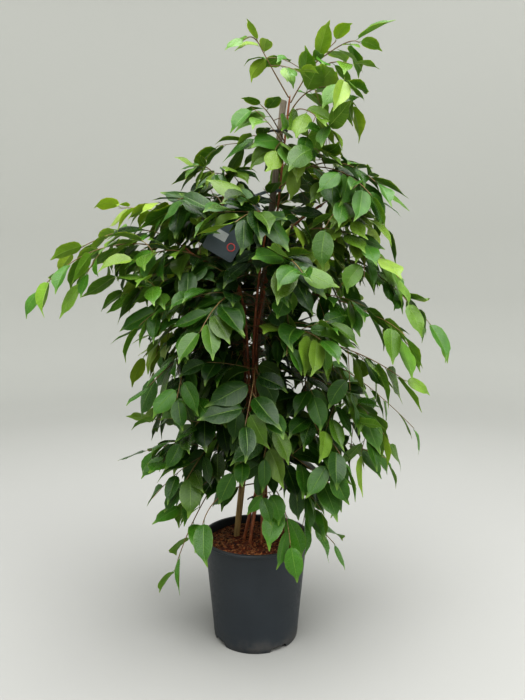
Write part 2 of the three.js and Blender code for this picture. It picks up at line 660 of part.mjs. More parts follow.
// Round tie about the bundle of stems, with the strip's free end to one side
function bundleTie(level, tail) {
  const names = Object.keys(STEMS);
  const spots = names.map((name) => stemAt(name, level));
  const middle = spots.reduce((sum, spot) => sum.add(spot.centre), point([0, 0, 0]));
  middle.divideScalar(names.length);
  const reach = Math.max(...spots.map((spot) => spot.centre.distanceTo(middle) + spot.radius));
  const inner = (reach + TIE.bundleRoom) / Math.cos(Math.PI / TIE.sides);
  const ring = (radius) =>
    Array.from({ length: TIE.sides }, (_, i) => {
      const angle = (2 * Math.PI * i) / TIE.sides;
      return [radius * Math.cos(angle), radius * Math.sin(angle)];
    });
  const outer = inner + TIE.thickness;
  const band = extruded(ring(outer), TIE.bundleHeight, [ring(inner)]);
  band.translate(middle.x, middle.y, level - TIE.bundleHeight / 2);
  const start = point([middle.x + tail.side * (outer - TIE.sunk), middle.y, level]);
  return solidOf(band).add(strip(start, start.clone().add(point(tail.run)), TIE.bundleHeight, UP));
}

// Thin strip between two points, with its width near the given direction
function strip(from, to, width, widthNear) {
  const line = new THREE.LineCurve3(from, to);
  const along = line.getTangent(0);
  const wide = widthNear.clone().addScaledVector(along, -widthNear.dot(along)).normalize();
  const thin = new THREE.Vector3().crossVectors(along, wide);
  const section = (centre) =>
    [[1, 1], [-1, 1], [-1, -1], [1, -1]].map(([w, t]) =>
      centre.clone().addScaledVector(wide, (w * width) / 2).addScaledVector(thin, t * TIE.stripHalf),
    );
  return solidOf(loft([section(from), section(to)]));
}

// Flat band round the cane and the leader beside it
function caneBand(level, height) {
  const { centre: spot, radius } = stemAt("leader", level);
  const room = TIE.caneRoom;
  const left = stakeCentre(level) - STAKE.width / 2 - room;
  const right = spot.x + radius + room;
  const back = STAKE.foot[1] + STAKE.depth / 2 + room;
  const front = Math.min(STAKE.foot[1] - STAKE.depth / 2, spot.y - radius) - room;
  const cut = TIE.cornerCut;
  const corners = (grow) => [
    [left - grow + cut, front - grow], [right + grow - cut, front - grow],
    [right + grow, front - grow + cut], [right + grow, back + grow - cut],
    [right + grow - cut, back + grow], [left - grow + cut, back + grow],
    [left - grow, back + grow - cut], [left - grow, front - grow + cut],
  ];
  const band = extruded(corners(TIE.thickness), height, [corners(0)]);
  band.translate(0, 0, level - height / 2);
  return {
    solid: solidOf(band),
    left: left - TIE.thickness,
    front: front - TIE.thickness,
    middle: (left + right) / 2,
  };
}

function topTie(tailRun) {
  const band = caneBand(TIE.topLevel, TIE.topHeight);
  const start = point([band.left + TIE.sunk, STAKE.foot[1], TIE.topLevel]);
  return band.solid.add(strip(start, start.clone().add(point(tailRun)), TIE.topHeight, UP));
}

// Tag: a strap from a band on the cane to a flat plate that hangs askew in front of the stems
function makeTag() {
  const band = caneBand(TAG.bandLevel, TAG.bandHeight);
  const lean = radians(TAG.lean);
  const across = new THREE.Vector3(Math.cos(lean), 0, -Math.sin(lean));
  const down = new THREE.Vector3(-Math.sin(lean), 0, -Math.cos(lean));
  const plateTop = point(TAG.top);
  const section = (centre, width) =>
    [[1, 1], [-1, 1], [-1, -1], [1, -1]].map(([w, t]) =>
      centre.clone()
        .addScaledVector(across, (w * width) / 2)
        .addScaledVector(FRONT, (t * TAG.thickness) / 2),
    );
  const plate = loft([
    section(plateTop.clone().addScaledVector(down, -TAG.neck), TAG.strapWidth),
    section(plateTop, TAG.width),
    section(plateTop.clone().addScaledVector(down, TAG.length), TAG.width),
  ]);
  const strapStart = point([band.middle, band.front + TIE.sunk, TAG.bandLevel]);
  const strapEnd = plateTop.clone().addScaledVector(down, TAG.strapLap);
  const strap = strip(strapStart, strapEnd, TAG.strapWidth, across);
  return band.solid.add(solidOf(plate)).add(strap);
}

function mesh(name, solid, finish) {
  const material = new THREE.MeshStandardMaterial({ ...finish, metalness: 0 });
  const made = new THREE.Mesh(geometryOf(solid), material);
  made.name = name;
  return made;
}

// Finish of a spray, between that of old leaves and that of young ones
function leafFinish(young) {
  const color = new THREE.Color(LEAF_COLOURS.old);
  color.lerp(new THREE.Color(LEAF_COLOURS.young), young);
  return { color, roughness: LEAF_COLOURS.roughness };
}

const plant = new THREE.Group();

function addPiece(name, solid, finish) {
  place(name, solid);
  plant.add(mesh(name, solid, finish));
}

const stemNames = Object.keys(STEMS);
const [lowLevel, midLevel] = TIE.bundleLevels;

addPiece("pot", makePot(), FINISHES.pot);
addPiece("soil", makeSoil([...stemNames.map(stemHole), makeStake(STEM.holeGap)]), FINISHES.soil);
addPiece("stake", makeStake(), FINISHES.cane);
for (const name of stemNames) {
  addPiece("stem_" + name, makeStem(name), FINISHES.bark);
}
addPiece("tie_low", bundleTie(lowLevel, { side: -1, run: [-9, -5, -3] }), FINISHES.tie);
addPiece("tie_mid", bundleTie(midLevel, { side: 1, run: [17, -6, 1] }), FINISHES.tie);
addPiece("tie_top", topTie([-16, -8, -4]), FINISHES.tie);
addPiece("tag", makeTag(), FINISHES.tag);

const sprayTwigs = SPRAYS.map(twigsOf);
SPRAYS.forEach((plan, index) => {
  for (const path of sprayTwigs[index]) {
    place(plan.name, twigSolid(path));
  }
});
SPRAYS.forEach((plan, index) => {
  const solid = growSpray(plan, index + 1, sprayTwigs[index]);
  plant.add(mesh("spray_" + plan.name, solid, leafFinish(plan.young)));
});

export default plant;
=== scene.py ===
import json
import logging
import math
import random
from dataclasses import dataclass, field, replace
from enum import Enum, IntEnum
from functools import cache, cached_property
from typing import Callable, Iterable, Sequence

import bmesh
import bpy
from mathutils import Matrix, Vector, noise
from mathutils.bvhtree import BVHTree
from mathutils.kdtree import KDTree


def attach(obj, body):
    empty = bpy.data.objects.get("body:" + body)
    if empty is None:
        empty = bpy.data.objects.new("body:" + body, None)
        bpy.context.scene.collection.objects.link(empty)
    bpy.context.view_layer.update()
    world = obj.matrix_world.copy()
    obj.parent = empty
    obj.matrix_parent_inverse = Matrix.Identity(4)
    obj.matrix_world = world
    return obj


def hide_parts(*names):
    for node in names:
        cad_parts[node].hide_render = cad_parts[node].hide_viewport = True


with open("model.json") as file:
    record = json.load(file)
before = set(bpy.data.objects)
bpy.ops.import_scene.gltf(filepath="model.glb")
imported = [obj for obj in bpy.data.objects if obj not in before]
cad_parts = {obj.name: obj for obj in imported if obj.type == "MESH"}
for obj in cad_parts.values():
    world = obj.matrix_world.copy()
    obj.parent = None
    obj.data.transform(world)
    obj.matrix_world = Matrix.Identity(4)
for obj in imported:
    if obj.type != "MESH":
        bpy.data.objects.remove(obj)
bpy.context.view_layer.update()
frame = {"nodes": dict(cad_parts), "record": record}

LOG = logging.getLogger("weeping_fig")
MM = 0.001
TURN = 2 * math.pi
UP = Vector((0.0, 0.0, 1.0))
FRONT = Vector((0.0, -1.0, 0.0))
# Per corner of each leaf: its tone, which holds painted shade and painted light from its place in the crown,
# then its youth and its dullness.
LEAF_SHADE_AND_MARKS = "leaf_marks"
LEAF_UV = "leaf_uv"

Place = tuple[float, float, float]
Colour = tuple[float, float, float, float]
Range = tuple[float, float]
Relief = tuple[float, float]
Mesh = bmesh.types.BMesh
Edge = bmesh.types.BMEdge
Face = bmesh.types.BMFace
Corner = bmesh.types.BMVert
Object = bpy.types.Object
Material = bpy.types.Material
Socket = bpy.types.NodeSocket
Value = Socket | float | tuple[float, ...]
Path = Sequence[Vector]


def at(place: Sequence[float]) -> Vector:
    """Give a place in millimetres as a vector in metres."""
    return Vector(place) * MM


def colour(red: int, green: int, blue: int) -> Colour:
    """Give a screen colour, with parts from 0 to 255, as the linear colour that Blender works in."""
    return (*(((c / 255 + 0.055) / 1.055) ** 2.4 if c > 10 else c / 3294 for c in (red, green, blue)), 1.0)


def lerp(low: float, high: float, share: float) -> float:
    """Give the number at a share of the way from one to another."""
    return low + (high - low) * share


def clamp(number: float) -> float:
    """Hold a number between 0 and 1."""
    return min(max(number, 0.0), 1.0)


def draw(seed: float, use: float) -> float:
    """Give a repeatable draw between 0 and 1 for one leaf and one use of it."""
    wave = math.sin(seed * 127.1 + use * 311.7) * 43758.5453
    return wave - math.floor(wave)


def draw_in(span: Range, seed: float, use: float) -> float:
    """Give a repeatable draw within a range."""
    return lerp(span[0], span[1], draw(seed, use))


def bent(start: Vector, control: Vector, end: Vector, share: float) -> Vector:
    """Give the point at a share of a curve that leaves its start towards a control point."""
    return start * (1 - share) ** 2 + control * (2 * share * (1 - share)) + end * share**2


def parabola(start: Vector, control: Vector, end: Vector, steps: int) -> list[Vector]:
    """Give the points of a bent curve, in a number of equal steps."""
    return [bent(start, control, end, step / steps) for step in range(steps + 1)]


def smooth_curve(stops: Path, steps: int) -> list[Vector]:
    """Give the points of a smooth curve through some stops.

    Args:
        stops: the places that the curve passes.
        steps: the number of stretches.

    Returns:
        The points, one more than the steps.
    """
    guides = [stops[0] * 2 - stops[1], *stops, stops[-1] * 2 - stops[-2]]
    points = []
    for step in range(steps + 1):
        place = step / steps * (len(stops) - 1)
        index = min(int(place), len(stops) - 2)
        t = place - index
        before, low, high, after = guides[index : index + 4]
        lead = (high - before) * 0.5
        trail = (after - low) * 0.5
        square = (high * 3 - low * 3 - lead * 2 - trail) * t**2
        points.append(low + lead * t + square + (low * 2 - high * 2 + lead + trail) * t**3)
    return points


def on_path(path: Path, share: float) -> tuple[Vector, Vector]:
    """Find the point at a share of a path.

    Args:
        path: the path's points.
        share: how far along it, from 0 to 1.

    Returns:
        The point, and the direction of the stretch that it is on.
    """
    place = share * (len(path) - 1)
    index = min(int(place), len(path) - 2)
    along = path[index + 1] - path[index]
    return path[index] + along * (place - index), along.normalized()


def skin_since(bm: Mesh, before: set[Face], material: int = 0) -> list[Face]:
    """Turn a mesh's new faces outwards and give them their material slot.

    Args:
        bm: the mesh.
        before: the faces that it had before.
        material: the slot.

    Returns:
        The new faces.
    """
    skin = [face for face in bm.faces if face not in before]
    bmesh.ops.recalc_face_normals(bm, faces=skin)
    for face in skin:
        face.material_index = material
    return skin


def edges_of(corners: Iterable[Corner]) -> list[Edge]:
    """Give the edges that some corners have."""
    return list({edge for corner in corners for edge in corner.link_edges})


def grow_ring(bm: Mesh, ring: Sequence[Edge], move: Matrix) -> list[Edge]:
    """Extrude a ring of edges.

    Args:
        bm: the mesh.
        ring: the ring's edges.
        move: what takes the old ring to the new one's place.

    Returns:
        The new ring's edges.
    """
    grown = bmesh.ops.extrude_edge_only(bm, edges=ring)["geom"]
    corners = [part for part in grown if isinstance(part, Corner)]
    bmesh.ops.transform(bm, matrix=move, verts=corners)
    known = set(corners)
    return [part for part in grown if isinstance(part, Edge) and known.issuperset(part.verts)]


def sweep(
    bm: Mesh, path: Path, radius_at: Callable[[float], float], near: Vector, sides: int,
    material: int = 0, flat: float = 1.0,
) -> None:
    """Sweep a round section along a path and close both of its ends.

    Args:
        bm: the mesh.
        path: the path's points.
        radius_at: the section's size at a share of the path.
        near: the direction that the section's X axis stays close to.
        sides: the number of the section's corners.
        material: its faces' material slot.
        flat: the section's height, as a share of its width.
    """
    before = set(bm.faces)
    last = len(path) - 1
    frames = []
    for index, centre in enumerate(path):
        along = (path[min(index + 1, last)] - path[max(index - 1, 0)]).normalized()
        x = (near - along * near.dot(along)).normalized()
        turn = Matrix((x, along.cross(x), along)).transposed().to_4x4()
        radius = radius_at(index / last)
        frames.append(Matrix.Translation(centre) @ turn @ Matrix.Diagonal((radius, radius, radius, 1)))
    first = frames[0] @ Matrix.Diagonal((1, flat, 1, 1))
    ring = edges_of(bmesh.ops.create_circle(bm, segments=sides, radius=1, matrix=first)["verts"])
    bmesh.ops.edgeloop_fill(bm, edges=ring)
    for low, high in zip(frames, frames[1:]):
        ring = grow_ring(bm, ring, high @ low.inverted())
    bmesh.ops.edgeloop_fill(bm, edges=ring)
    for face in skin_since(bm, before, material):
        face.smooth = True


def spin(bm: Mesh, parts: Iterable[Corner | Edge], steps: int) -> None:
    """Spin some corners and edges once round the upright axis, in a number of steps."""
    bmesh.ops.spin(
        bm, geom=list(parts), cent=(0, 0, 0), axis=UP, angle=TURN, steps=steps, use_merge=True
    )


def turned(profile: Sequence[Range], steps: int) -> Mesh:
    """Turn a contour round the upright axis.

    Args:
        profile: the contour's points, as radius and height.
        steps: the number of stretches.

    Returns:
        The turned shape.
    """
    bm = bmesh.new()
    corners = [bm.verts.new((radius, 0.0, height)) for radius, height in profile]
    edges = [bm.edges.new(pair) for pair in zip(corners, corners[1:])]
    spin(bm, corners + edges, steps)
    bmesh.ops.remove_doubles(bm, verts=bm.verts, dist=1e-6)
    bmesh.ops.recalc_face_normals(bm, faces=bm.faces)
    return bm


def soften(bm: Mesh, edges: Iterable[Edge], offset: float, segments: int = 2) -> None:
    """Round off some of a mesh's edges."""
    bmesh.ops.bevel(
        bm, geom=list(edges), offset=offset, segments=segments, profile=0.5, affect="EDGES", material=-1
    )


def crease(bm: Mesh, angle: float) -> None:
    """Mark the edges sharper than an angle, in degrees, so that shading stops there."""
    for face in bm.faces:
        face.smooth = True
    for edge in bm.edges:
        if len(edge.link_faces) == 2 and edge.calc_face_angle(0) > math.radians(angle):
            edge.smooth = False


def placed(name: str, data: bpy.types.ID) -> Object:
    """Put a new object at the origin."""
    made = bpy.data.objects.new(name, data)
    bpy.context.scene.collection.objects.link(made)
    return made


def solid(name: str, bm: Mesh, *materials: Material) -> Object:
    """Put a new object at the origin.

    Args:
        name: its name.
        bm: its mesh, which is freed.
        materials: its materials, in the order of its faces' slots.

    Returns:
        The object.
    """
    mesh = bpy.data.meshes.new(name)
    bm.to_mesh(mesh)
    bm.free()
    for material in materials:
        mesh.materials.append(material)
    return placed(name, mesh)


def finish_piece(name: str, bm: Mesh, materials: Iterable[Material], slot: str, *nodes: str) -> Object:
    """Make a finished piece of the plant.

    Args:
        name: the piece's name.
        bm: its mesh, which is freed.
        materials: its materials, in the order of its faces' slots.
        slot: the record's slot for the piece's finish; not used.
        nodes: the CAD nodes that it replaces.

    Returns:
        The piece's object.
    """
    piece = solid(name, bm, *materials)
    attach(piece, "root")
    if nodes:
        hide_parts(*nodes)
    LOG.info("%s: %d faces", name, len(piece.data.polygons))
    return piece


def tree_of(spots: Path) -> KDTree:
    """Give some places as a tree, for finding the nearest of them."""
    tree = KDTree(len(spots))
    for index, spot in enumerate(spots):
        tree.insert(spot, index)
    tree.balance()
    return tree


class Shading:
    """Short ways to add and join the nodes of one tree."""

    def __init__(self, tree: bpy.types.NodeTree) -> None:
        """Work on a tree."""
        self.tree = tree

    def feed(self, socket: Socket, value: Value) -> None:
        """Join an input to another node's output, or set it to a value."""
        if isinstance(value, Socket):
            self.tree.links.new(value, socket)
        else:
            socket.default_value = value

    def add(self, kind: str, feeds: dict[str | int, Value], **settings: object) -> bpy.types.NodeOutputs:
        """Add a node.

        Args:
            kind: its type's name, without the word ShaderNode.
            feeds: what its inputs are fed, by name or number.
            settings: its properties.

        Returns:
            The node's outputs.
        """
        made = self.tree.nodes.new("ShaderNode" + kind)
        for name, value in settings.items():
            setattr(made, name, value)
        for key, value in feeds.items():
            self.feed(made.inputs[key], value)
        return made.outputs

    def math(self, operation: str, first: Value, second: Value = 0.0, clamp: bool = False) -> Socket:
        """Do one of Blender's sums on two numbers, kept between 0 and 1 where asked."""
        return self.add("Math", {0: first, 1: second}, operation=operation, use_clamp=clamp)[0]

    def span(self, value: Value, low: float, high: float, new_low: float = 0, new_high: float = 1) -> Socket:
        """Stretch a range of numbers to another, and hold it there outside the range."""
        return self.add("MapRange", dict(enumerate((value, low, high, new_low, new_high))))[0]

    def blend(self, share: Value, low: Value, high: Value) -> Socket:
        """Blend two colours, with a share of the second."""
        return self.add("Mix", {0: share, 6: low, 7: high}, data_type="RGBA")[2]

    def tint(self, mask: Value, strength: float, tone: Value, over: Colour) -> Socket:
        """Lay a colour over a tone, by a mask and its strength."""
        return self.blend(self.math("MULTIPLY", mask, strength), tone, over)

    def noise(self, where: Value, scale: Value, detail: float = 3.0, rough: float = 0.55) -> Socket:
        """Give a cloudy pattern: so many clouds to a metre, and finer layers of some strength."""
        feeds = {"Vector": where, "Scale": scale, "Detail": detail, "Roughness": rough}
        return self.add("TexNoise", feeds)[0]

    def cells(self, where: Value, scale: float) -> bpy.types.NodeOutputs:
        """Give a pattern of cells, with a scale in cells to a metre."""
        return self.add("TexVoronoi", {"Vector": where, "Scale": scale})

    def stretched(self, where: Value, factors: Place) -> Socket:
        """Give coordinates that are scaled along each axis."""
        return self.add("Mapping", {"Vector": where, "Scale": factors})[0]

    def parts(self, value: Value, kind: str = "XYZ") -> bpy.types.NodeOutputs:
        """Take a place or a colour apart."""
        return self.add("Separate" + kind, {0: value})

    def bump(self, height: Value, strength: float, depth: float, below: Socket | None = None) -> Socket:
        """Turn heights, with a depth in metres, into normals that lie on those of a coarser bump."""
        below_it = {"Normal": below} if below else {}
        return self.add("Bump", {"Strength": strength, "Distance": depth, "Height": height, **below_it})[0]

    def group(self, effect: "type[Effect]", **values: Value) -> bpy.types.NodeOutputs:
        """Place a shared effect in this tree, and feed its inputs by their names in small letters."""
        feeds = {name.capitalize(): value for name, value in values.items()}
        return self.add("Group", feeds, node_tree=shared(effect).tree)


class Effect(Shading):
    """A node group that several finishes share, which turns a place and numbers into masks."""

    def __init__(self, name: str, inputs: Sequence[str], outputs: Sequence[str]) -> None:
        """Start the group.

        Args:
            name: its name.
            inputs: its inputs' names; the one called Where is a place.
            outputs: its masks' names.
        """
        super().__init__(bpy.data.node_groups.new(name, "ShaderNodeTree"))
        for title in inputs:
            kind = "NodeSocketVector" if title == "Where" else "NodeSocketFloat"
            self.tree.interface.new_socket(title, in_out="INPUT", socket_type=kind)
        for title in outputs:
            self.tree.interface.new_socket(title, in_out="OUTPUT", socket_type="NodeSocketFloat")
        self.given = self.tree.nodes.new("NodeGroupInput").outputs
        self.result = self.tree.nodes.new("NodeGroupOutput").inputs

    def give(self, name: str, mask: Socket) -> None:
        """Put out a mask."""
        self.feed(self.result[name], mask)


class Mottle(Effect):
    """Uneven patches: broad ones, fine ones and both together."""

    FINER = 9.0
    BROAD_SHARE = 0.6

    def __init__(self) -> None:
        """Make the effect."""
        super().__init__("mottle", ("Where", "Size"), ("Broad", "Fine", "Both"))
        where, size = self.given["Where"], self.given["Size"]
        broad = self.noise(where, size, 2.0)
        fine = self.noise(where, self.math("MULTIPLY", size, self.FINER), 4.0, 0.62)
        most = self.math("MULTIPLY", broad, self.BROAD_SHARE)
        both = self.math("ADD", most, self.math("MULTIPLY", fine, 1 - self.BROAD_SHARE))
        self.give("Broad", self.span(broad, 0.3, 0.7))
        self.give("Fine", self.span(fine, 0.28, 0.72))
        self.give("Both", self.span(both, 0.35, 0.65))


class LongFibres(Effect):
    """Long fibres that run up the plant, with darker grooves between them."""

    STRETCH = (1.0, 1.0, 0.045)
    FINER = 2.7

    def __init__(self) -> None:
        """Make the effect."""
        super().__init__("long_fibres", ("Where", "Size"), ("Streaks", "Grooves"))
        drawn = self.stretched(self.given["Where"], self.STRETCH)
        size = self.given["Size"]
        self.give("Streaks", self.span(self.noise(drawn, size, 4.0, 0.6), 0.32, 0.68))
        grooves = self.noise(drawn, self.math("MULTIPLY", size, self.FINER), 2.0)
        self.give("Grooves", self.span(grooves, 0.3, 0.46))


class SettledDust(Effect):
    """Dust and splashes that lie thickest low down and on upward faces."""

    LYING_SHARE = 0.5

    def __init__(self) -> None:
        """Make the effect."""
        super().__init__("settled_dust", ("Where", "Size", "Reach"), ("Dust",))
        where = self.given["Where"]
        height = self.parts(where)[2]
        low = self.math("SUBTRACT", 1.0, self.math("DIVIDE", height, self.given["Reach"]), clamp=True)
        facing = self.parts(self.add("NewGeometry", {})["Normal"])[2]
        flat = self.math("MULTIPLY", facing, self.LYING_SHARE, clamp=True)
        lying = self.math("ADD", low, flat, clamp=True)
        patches = self.span(self.noise(where, self.given["Size"], 6.0, 0.65), 0.42, 0.7)
        self.give("Dust", self.math("MULTIPLY", lying, patches, clamp=True))


class LeafVeins(Effect):
    """A leaf's midrib, its slanting side veins, and its pale margin and tip, by its own UV map."""

    HALF_RIB = (0.034, 0.014)
    SLANT = 30.0
    ROWS = 96.0

    def __init__(self) -> None:
        """Make the effect."""
        super().__init__("leaf_veins", ("Across", "Along"), ("Midrib", "Side", "Margin"))
        along = self.given["Along"]
        out = self.math("ABSOLUTE", self.math("SUBTRACT", self.given["Across"], 0.5))
        half_width = self.span(along, 0.1, 1.0, *self.HALF_RIB)
        self.give("Midrib", self.math("SUBTRACT", 1.0, self.math("DIVIDE", out, half_width), clamp=True))
        slant = self.math("MULTIPLY", out, self.SLANT)
        rows = self.math("SUBTRACT", self.math("MULTIPLY", along, self.ROWS), slant)
        ridge = self.span(self.math("SINE", rows), 0.2, 1.0, 0.0, 0.5)
        strong = self.math("SINE", self.math("MULTIPLY", rows, 0.25))
        self.give("Side", self.math("ADD", ridge, self.span(strong, 0.7, 1.0, 0.0, 0.5)))
        margin = self.span(out, 0.44, 0.5, 0.0, 0.12)
        self.give("Margin", self.math("MAXIMUM", margin, self.span(along, 0.84, 1.0, 0.0, 0.6)))


@cache
def shared(kind: type[Effect]) -> Effect:
    """Make an effect when the first finish asks for it."""
    return kind()


class Surface(Shading):
    """A new material with its shader, ready to take a finish."""

    def __init__(self, name: str) -> None:
        """Make the material."""
        self.material = bpy.data.materials.new(name)
        self.material.use_nodes = True
        super().__init__(self.material.node_tree)
        self.where = self.add("TexCoord", {})["Object"]

    def mottle(self, size: float) -> bpy.types.NodeOutputs:
        """Place the effect of uneven patches, with some of them to a metre."""
        return self.group(Mottle, where=self.where, size=size)

    def fibres(self, size: float) -> bpy.types.NodeOutputs:
        """Place the effect of long fibres, with some of them to a metre."""
        return self.group(LongFibres, where=self.where, size=size)

    def dress(self, base: Value, roughness: Value, **others: Value) -> Material:
        """Feed the shader.

        Args:
            base: the colour.
            roughness: the roughness.
            others: its other inputs, by their names with underscores.

        Returns:
            The finished material.
        """
        inputs = self.tree.nodes["Principled BSDF"].inputs
        for name, value in {"Base_Color": base, "Roughness": roughness, **others}.items():
            self.feed(inputs[name.replace("_", " ")], value)
        return self.material


@dataclass(frozen=True)
class PotFinish:
    """Dark slate moulded plastic, finely grained, scuffed and a little dusty."""

    base: Colour = colour(28, 35, 41)
    worn: Colour = colour(54, 61, 68)
    dusty: Colour = colour(120, 112, 102)
    patches_per_metre: float = 16.0
    patch_share: float = 0.22
    patch_relief: Relief = (0.2, 0.0012)
    scuffs_per_metre: float = 46.0
    scuff_stretch: Place = (1.0, 1.0, 3.5)
    scuff_range: Range = (0.6, 0.72)
    scuff_share: float = 0.35
    dust_per_metre: float = 38.0
    dust_reach: float = 0.035
    dust_share: float = 0.4
    grains_per_metre: float = 1500.0
    grain_relief: Relief = (0.25, 0.0003)
    roughness: Range = (0.4, 0.56)

    def build(self) -> Material:
        """Make the material.

        Returns:
            The material.
        """
        made = Surface("pot_plastic")
        patches = made.mottle(self.patches_per_metre)
        scuffs = made.noise(made.stretched(made.where, self.scuff_stretch), self.scuffs_per_metre, 8.0, 0.7)
        tone = made.tint(patches["Both"], self.patch_share, self.base, self.worn)
        tone = made.tint(made.span(scuffs, *self.scuff_range), self.scuff_share, tone, self.worn)
        dust = made.group(SettledDust, where=made.where, size=self.dust_per_metre, reach=self.dust_reach)
        dusted = made.math("MULTIPLY", dust["Dust"], self.dust_share)
        tone = made.blend(dusted, tone, self.dusty)
        roughness = made.math("ADD", made.span(patches["Fine"], 0, 1, *self.roughness), dusted, clamp=True)
        grain = made.bump(made.noise(made.where, self.grains_per_metre, 2.0), *self.grain_relief)
        return made.dress(tone, roughness, Normal=made.bump(patches["Broad"], *self.patch_relief, grain))


@dataclass(frozen=True)
class SoilFinish:
    """Reddish brown coir and bark crumb, with paler pieces among it."""

    dark: Colour = colour(48, 21, 10)
    red: Colour = colour(132, 60, 27)
    pale: Colour = colour(196, 130, 76)
    pale_from: float = 0.66
    name: str = "coir_crumb"
    patches_per_metre: float = 70.0
    patch_share: float = 0.5
    chips_per_metre: float = 260.0
    chip_relief: Relief = (0.8, 0.0016)
    pale_share: float = 0.8
    grains_per_metre: float = 1100.0
    grain_relief: Relief = (0.6, 0.0006)
    roughness: Range = (0.8, 0.98)

    def build(self) -> Material:
        """Make the material.

        Returns:
            The material.
        """
        made = Surface(self.name)
        fine = made.mottle(self.patches_per_metre)["Fine"]
        chips = made.cells(made.where, self.chips_per_metre)
        shade = made.parts(chips["Color"], "Color")
        tone = made.blend(made.span(shade[0], 0.1, 0.9), self.dark, self.red)
        tone = made.tint(fine, self.patch_share, tone, self.dark)
        tone = made.blend(made.span(shade[1], self.pale_from, 1.0, 0.0, self.pale_share), tone, self.pale)
        crumbs = made.bump(chips["Distance"], *self.chip_relief)
        grain = made.bump(made.noise(made.where, self.grains_per_metre, 4.0), *self.grain_relief, crumbs)
        return made.dress(tone, made.span(fine, 0, 1, *self.roughness), Normal=grain)


@dataclass(frozen=True)
class CaneFinish:
    """Split cane, grey brown above and yellower near the soil, with fine long fibres."""

    grey: Colour = colour(140, 130, 116)
    dark: Colour = colour(84, 70, 52)
    yellow: Colour = colour(186, 154, 96)
    yellow_from: Range = (0.26, 0.66)
    yellow_share: float = 0.85
    fibres_per_metre: float = 420.0
    fibre_share: float = 0.6
    fibre_relief: Relief = (0.5, 0.0006)
    patches_per_metre: float = 26.0
    patch_share: float = 0.25
    roughness: Range = (0.55, 0.8)

    def build(self) -> Material:
        """Make the material.

        Returns:
            The material.
        """
        made = Surface("split_cane")
        fibres = made.fibres(self.fibres_per_metre)
        patches = made.mottle(self.patches_per_metre)
        yellowed = made.span(made.parts(made.where)[2], *self.yellow_from, self.yellow_share, 0.0)
        tone = made.blend(yellowed, self.grey, self.yellow)
        tone = made.blend(made.span(fibres["Streaks"], 0.35, 1.0, 0.0, self.fibre_share), tone, self.dark)
        tone = made.tint(patches["Both"], self.patch_share, tone, self.dark)
        roughness = made.span(patches["Fine"], 0, 1, *self.roughness)
        return made.dress(tone, roughness, Normal=made.bump(fibres["Grooves"], *self.fibre_relief))


@dataclass(frozen=True)
class BarkFinish:
    """Smooth bark with long cracks and pale pores, or a young twig's skin."""

    name: str
    light: Colour
    dark: Colour
    pores: Colour
    roughness: float
    roughness_spread: float = 0.1
    fibres_per_metre: float = 300.0
    fibre_share: float = 0.5
    patches_per_metre: float = 48.0
    pores_per_metre: float = 190.0
    pore_stretch: Place = (1.0, 1.0, 0.7)
    pore_share: float = 0.6
    crack_relief: Relief = (0.5, 0.0005)
    pore_relief: Relief = (0.4, 0.0005)

    def build(self) -> Material:
        """Make the material.

        Returns:
            The material.
        """
        made = Surface(self.name)
        fibres = made.fibres(self.fibres_per_metre)
        patches = made.mottle(self.patches_per_metre)
        dots = made.cells(made.stretched(made.where, self.pore_stretch), self.pores_per_metre)
        pores = made.span(dots["Distance"], 0.1, 0.22, self.pore_share, 0.0)
        tone = made.blend(patches["Both"], self.dark, self.light)
        tone = made.tint(fibres["Streaks"], self.fibre_share, tone, self.dark)
        tone = made.blend(pores, tone, self.pores)
        cracks = made.bump(fibres["Grooves"], *self.crack_relief)
        spread = self.roughness_spread
        roughness = made.span(patches["Fine"], 0, 1, self.roughness - spread, self.roughness + spread)
        return made.dress(tone, roughness, Normal=made.bump(pores, *self.pore_relief, cracks))


@dataclass(frozen=True)
class TieFinish:
    """Black rubbery strap with fine ribs round it."""

    base: Colour = colour(24, 25, 27)
    worn: Colour = colour(58, 59, 60)
    patches_per_metre: float = 90.0
    patch_share: float = 0.5
    ribs_per_metre: float = 2400.0
    rib_stretch: Place = (0.1, 0.1, 1.0)
    rib_relief: Relief = (0.5, 0.0003)
    roughness: Range = (0.4, 0.6)

    def build(self) -> Material:
        """Make the material.

        Returns:
            The material.
        """
        made = Surface("black_strap")
        patches = made.mottle(self.patches_per_metre)
        tone = made.tint(patches["Both"], self.patch_share, self.base, self.worn)
        ribs = made.noise(made.stretched(made.where, self.rib_stretch), self.ribs_per_metre, 1.0)
        roughness = made.span(patches["Fine"], 0, 1, *self.roughness)
        return made.dress(tone, roughness, Normal=made.bump(ribs, *self.rib_relief))


@dataclass(frozen=True)
class PrintFinish:
    """Smooth sheet of plastic or paper in one colour, slightly uneven and dusty."""

    name: str
    base: Colour
    shade: Colour
    roughness: float = 0.38
    smoother: float = 0.06
    rougher: float = 0.1
    patches_per_metre: float = 34.0
    patch_share: float = 0.5
    patch_relief: Relief = (0.25, 0.0008)

    def build(self) -> Material:
        """Make the material.

        Returns:
            The material.
        """
        made = Surface(self.name)
        patches = made.mottle(self.patches_per_metre)
        tone = made.tint(patches["Both"], self.patch_share, self.base, self.shade)
        lowest, highest = self.roughness - self.smoother, self.roughness + self.rougher
        roughness = made.span(patches["Fine"], 0, 1, lowest, highest)
        return made.dress(tone, roughness, Normal=made.bump(patches["Broad"], *self.patch_relief))


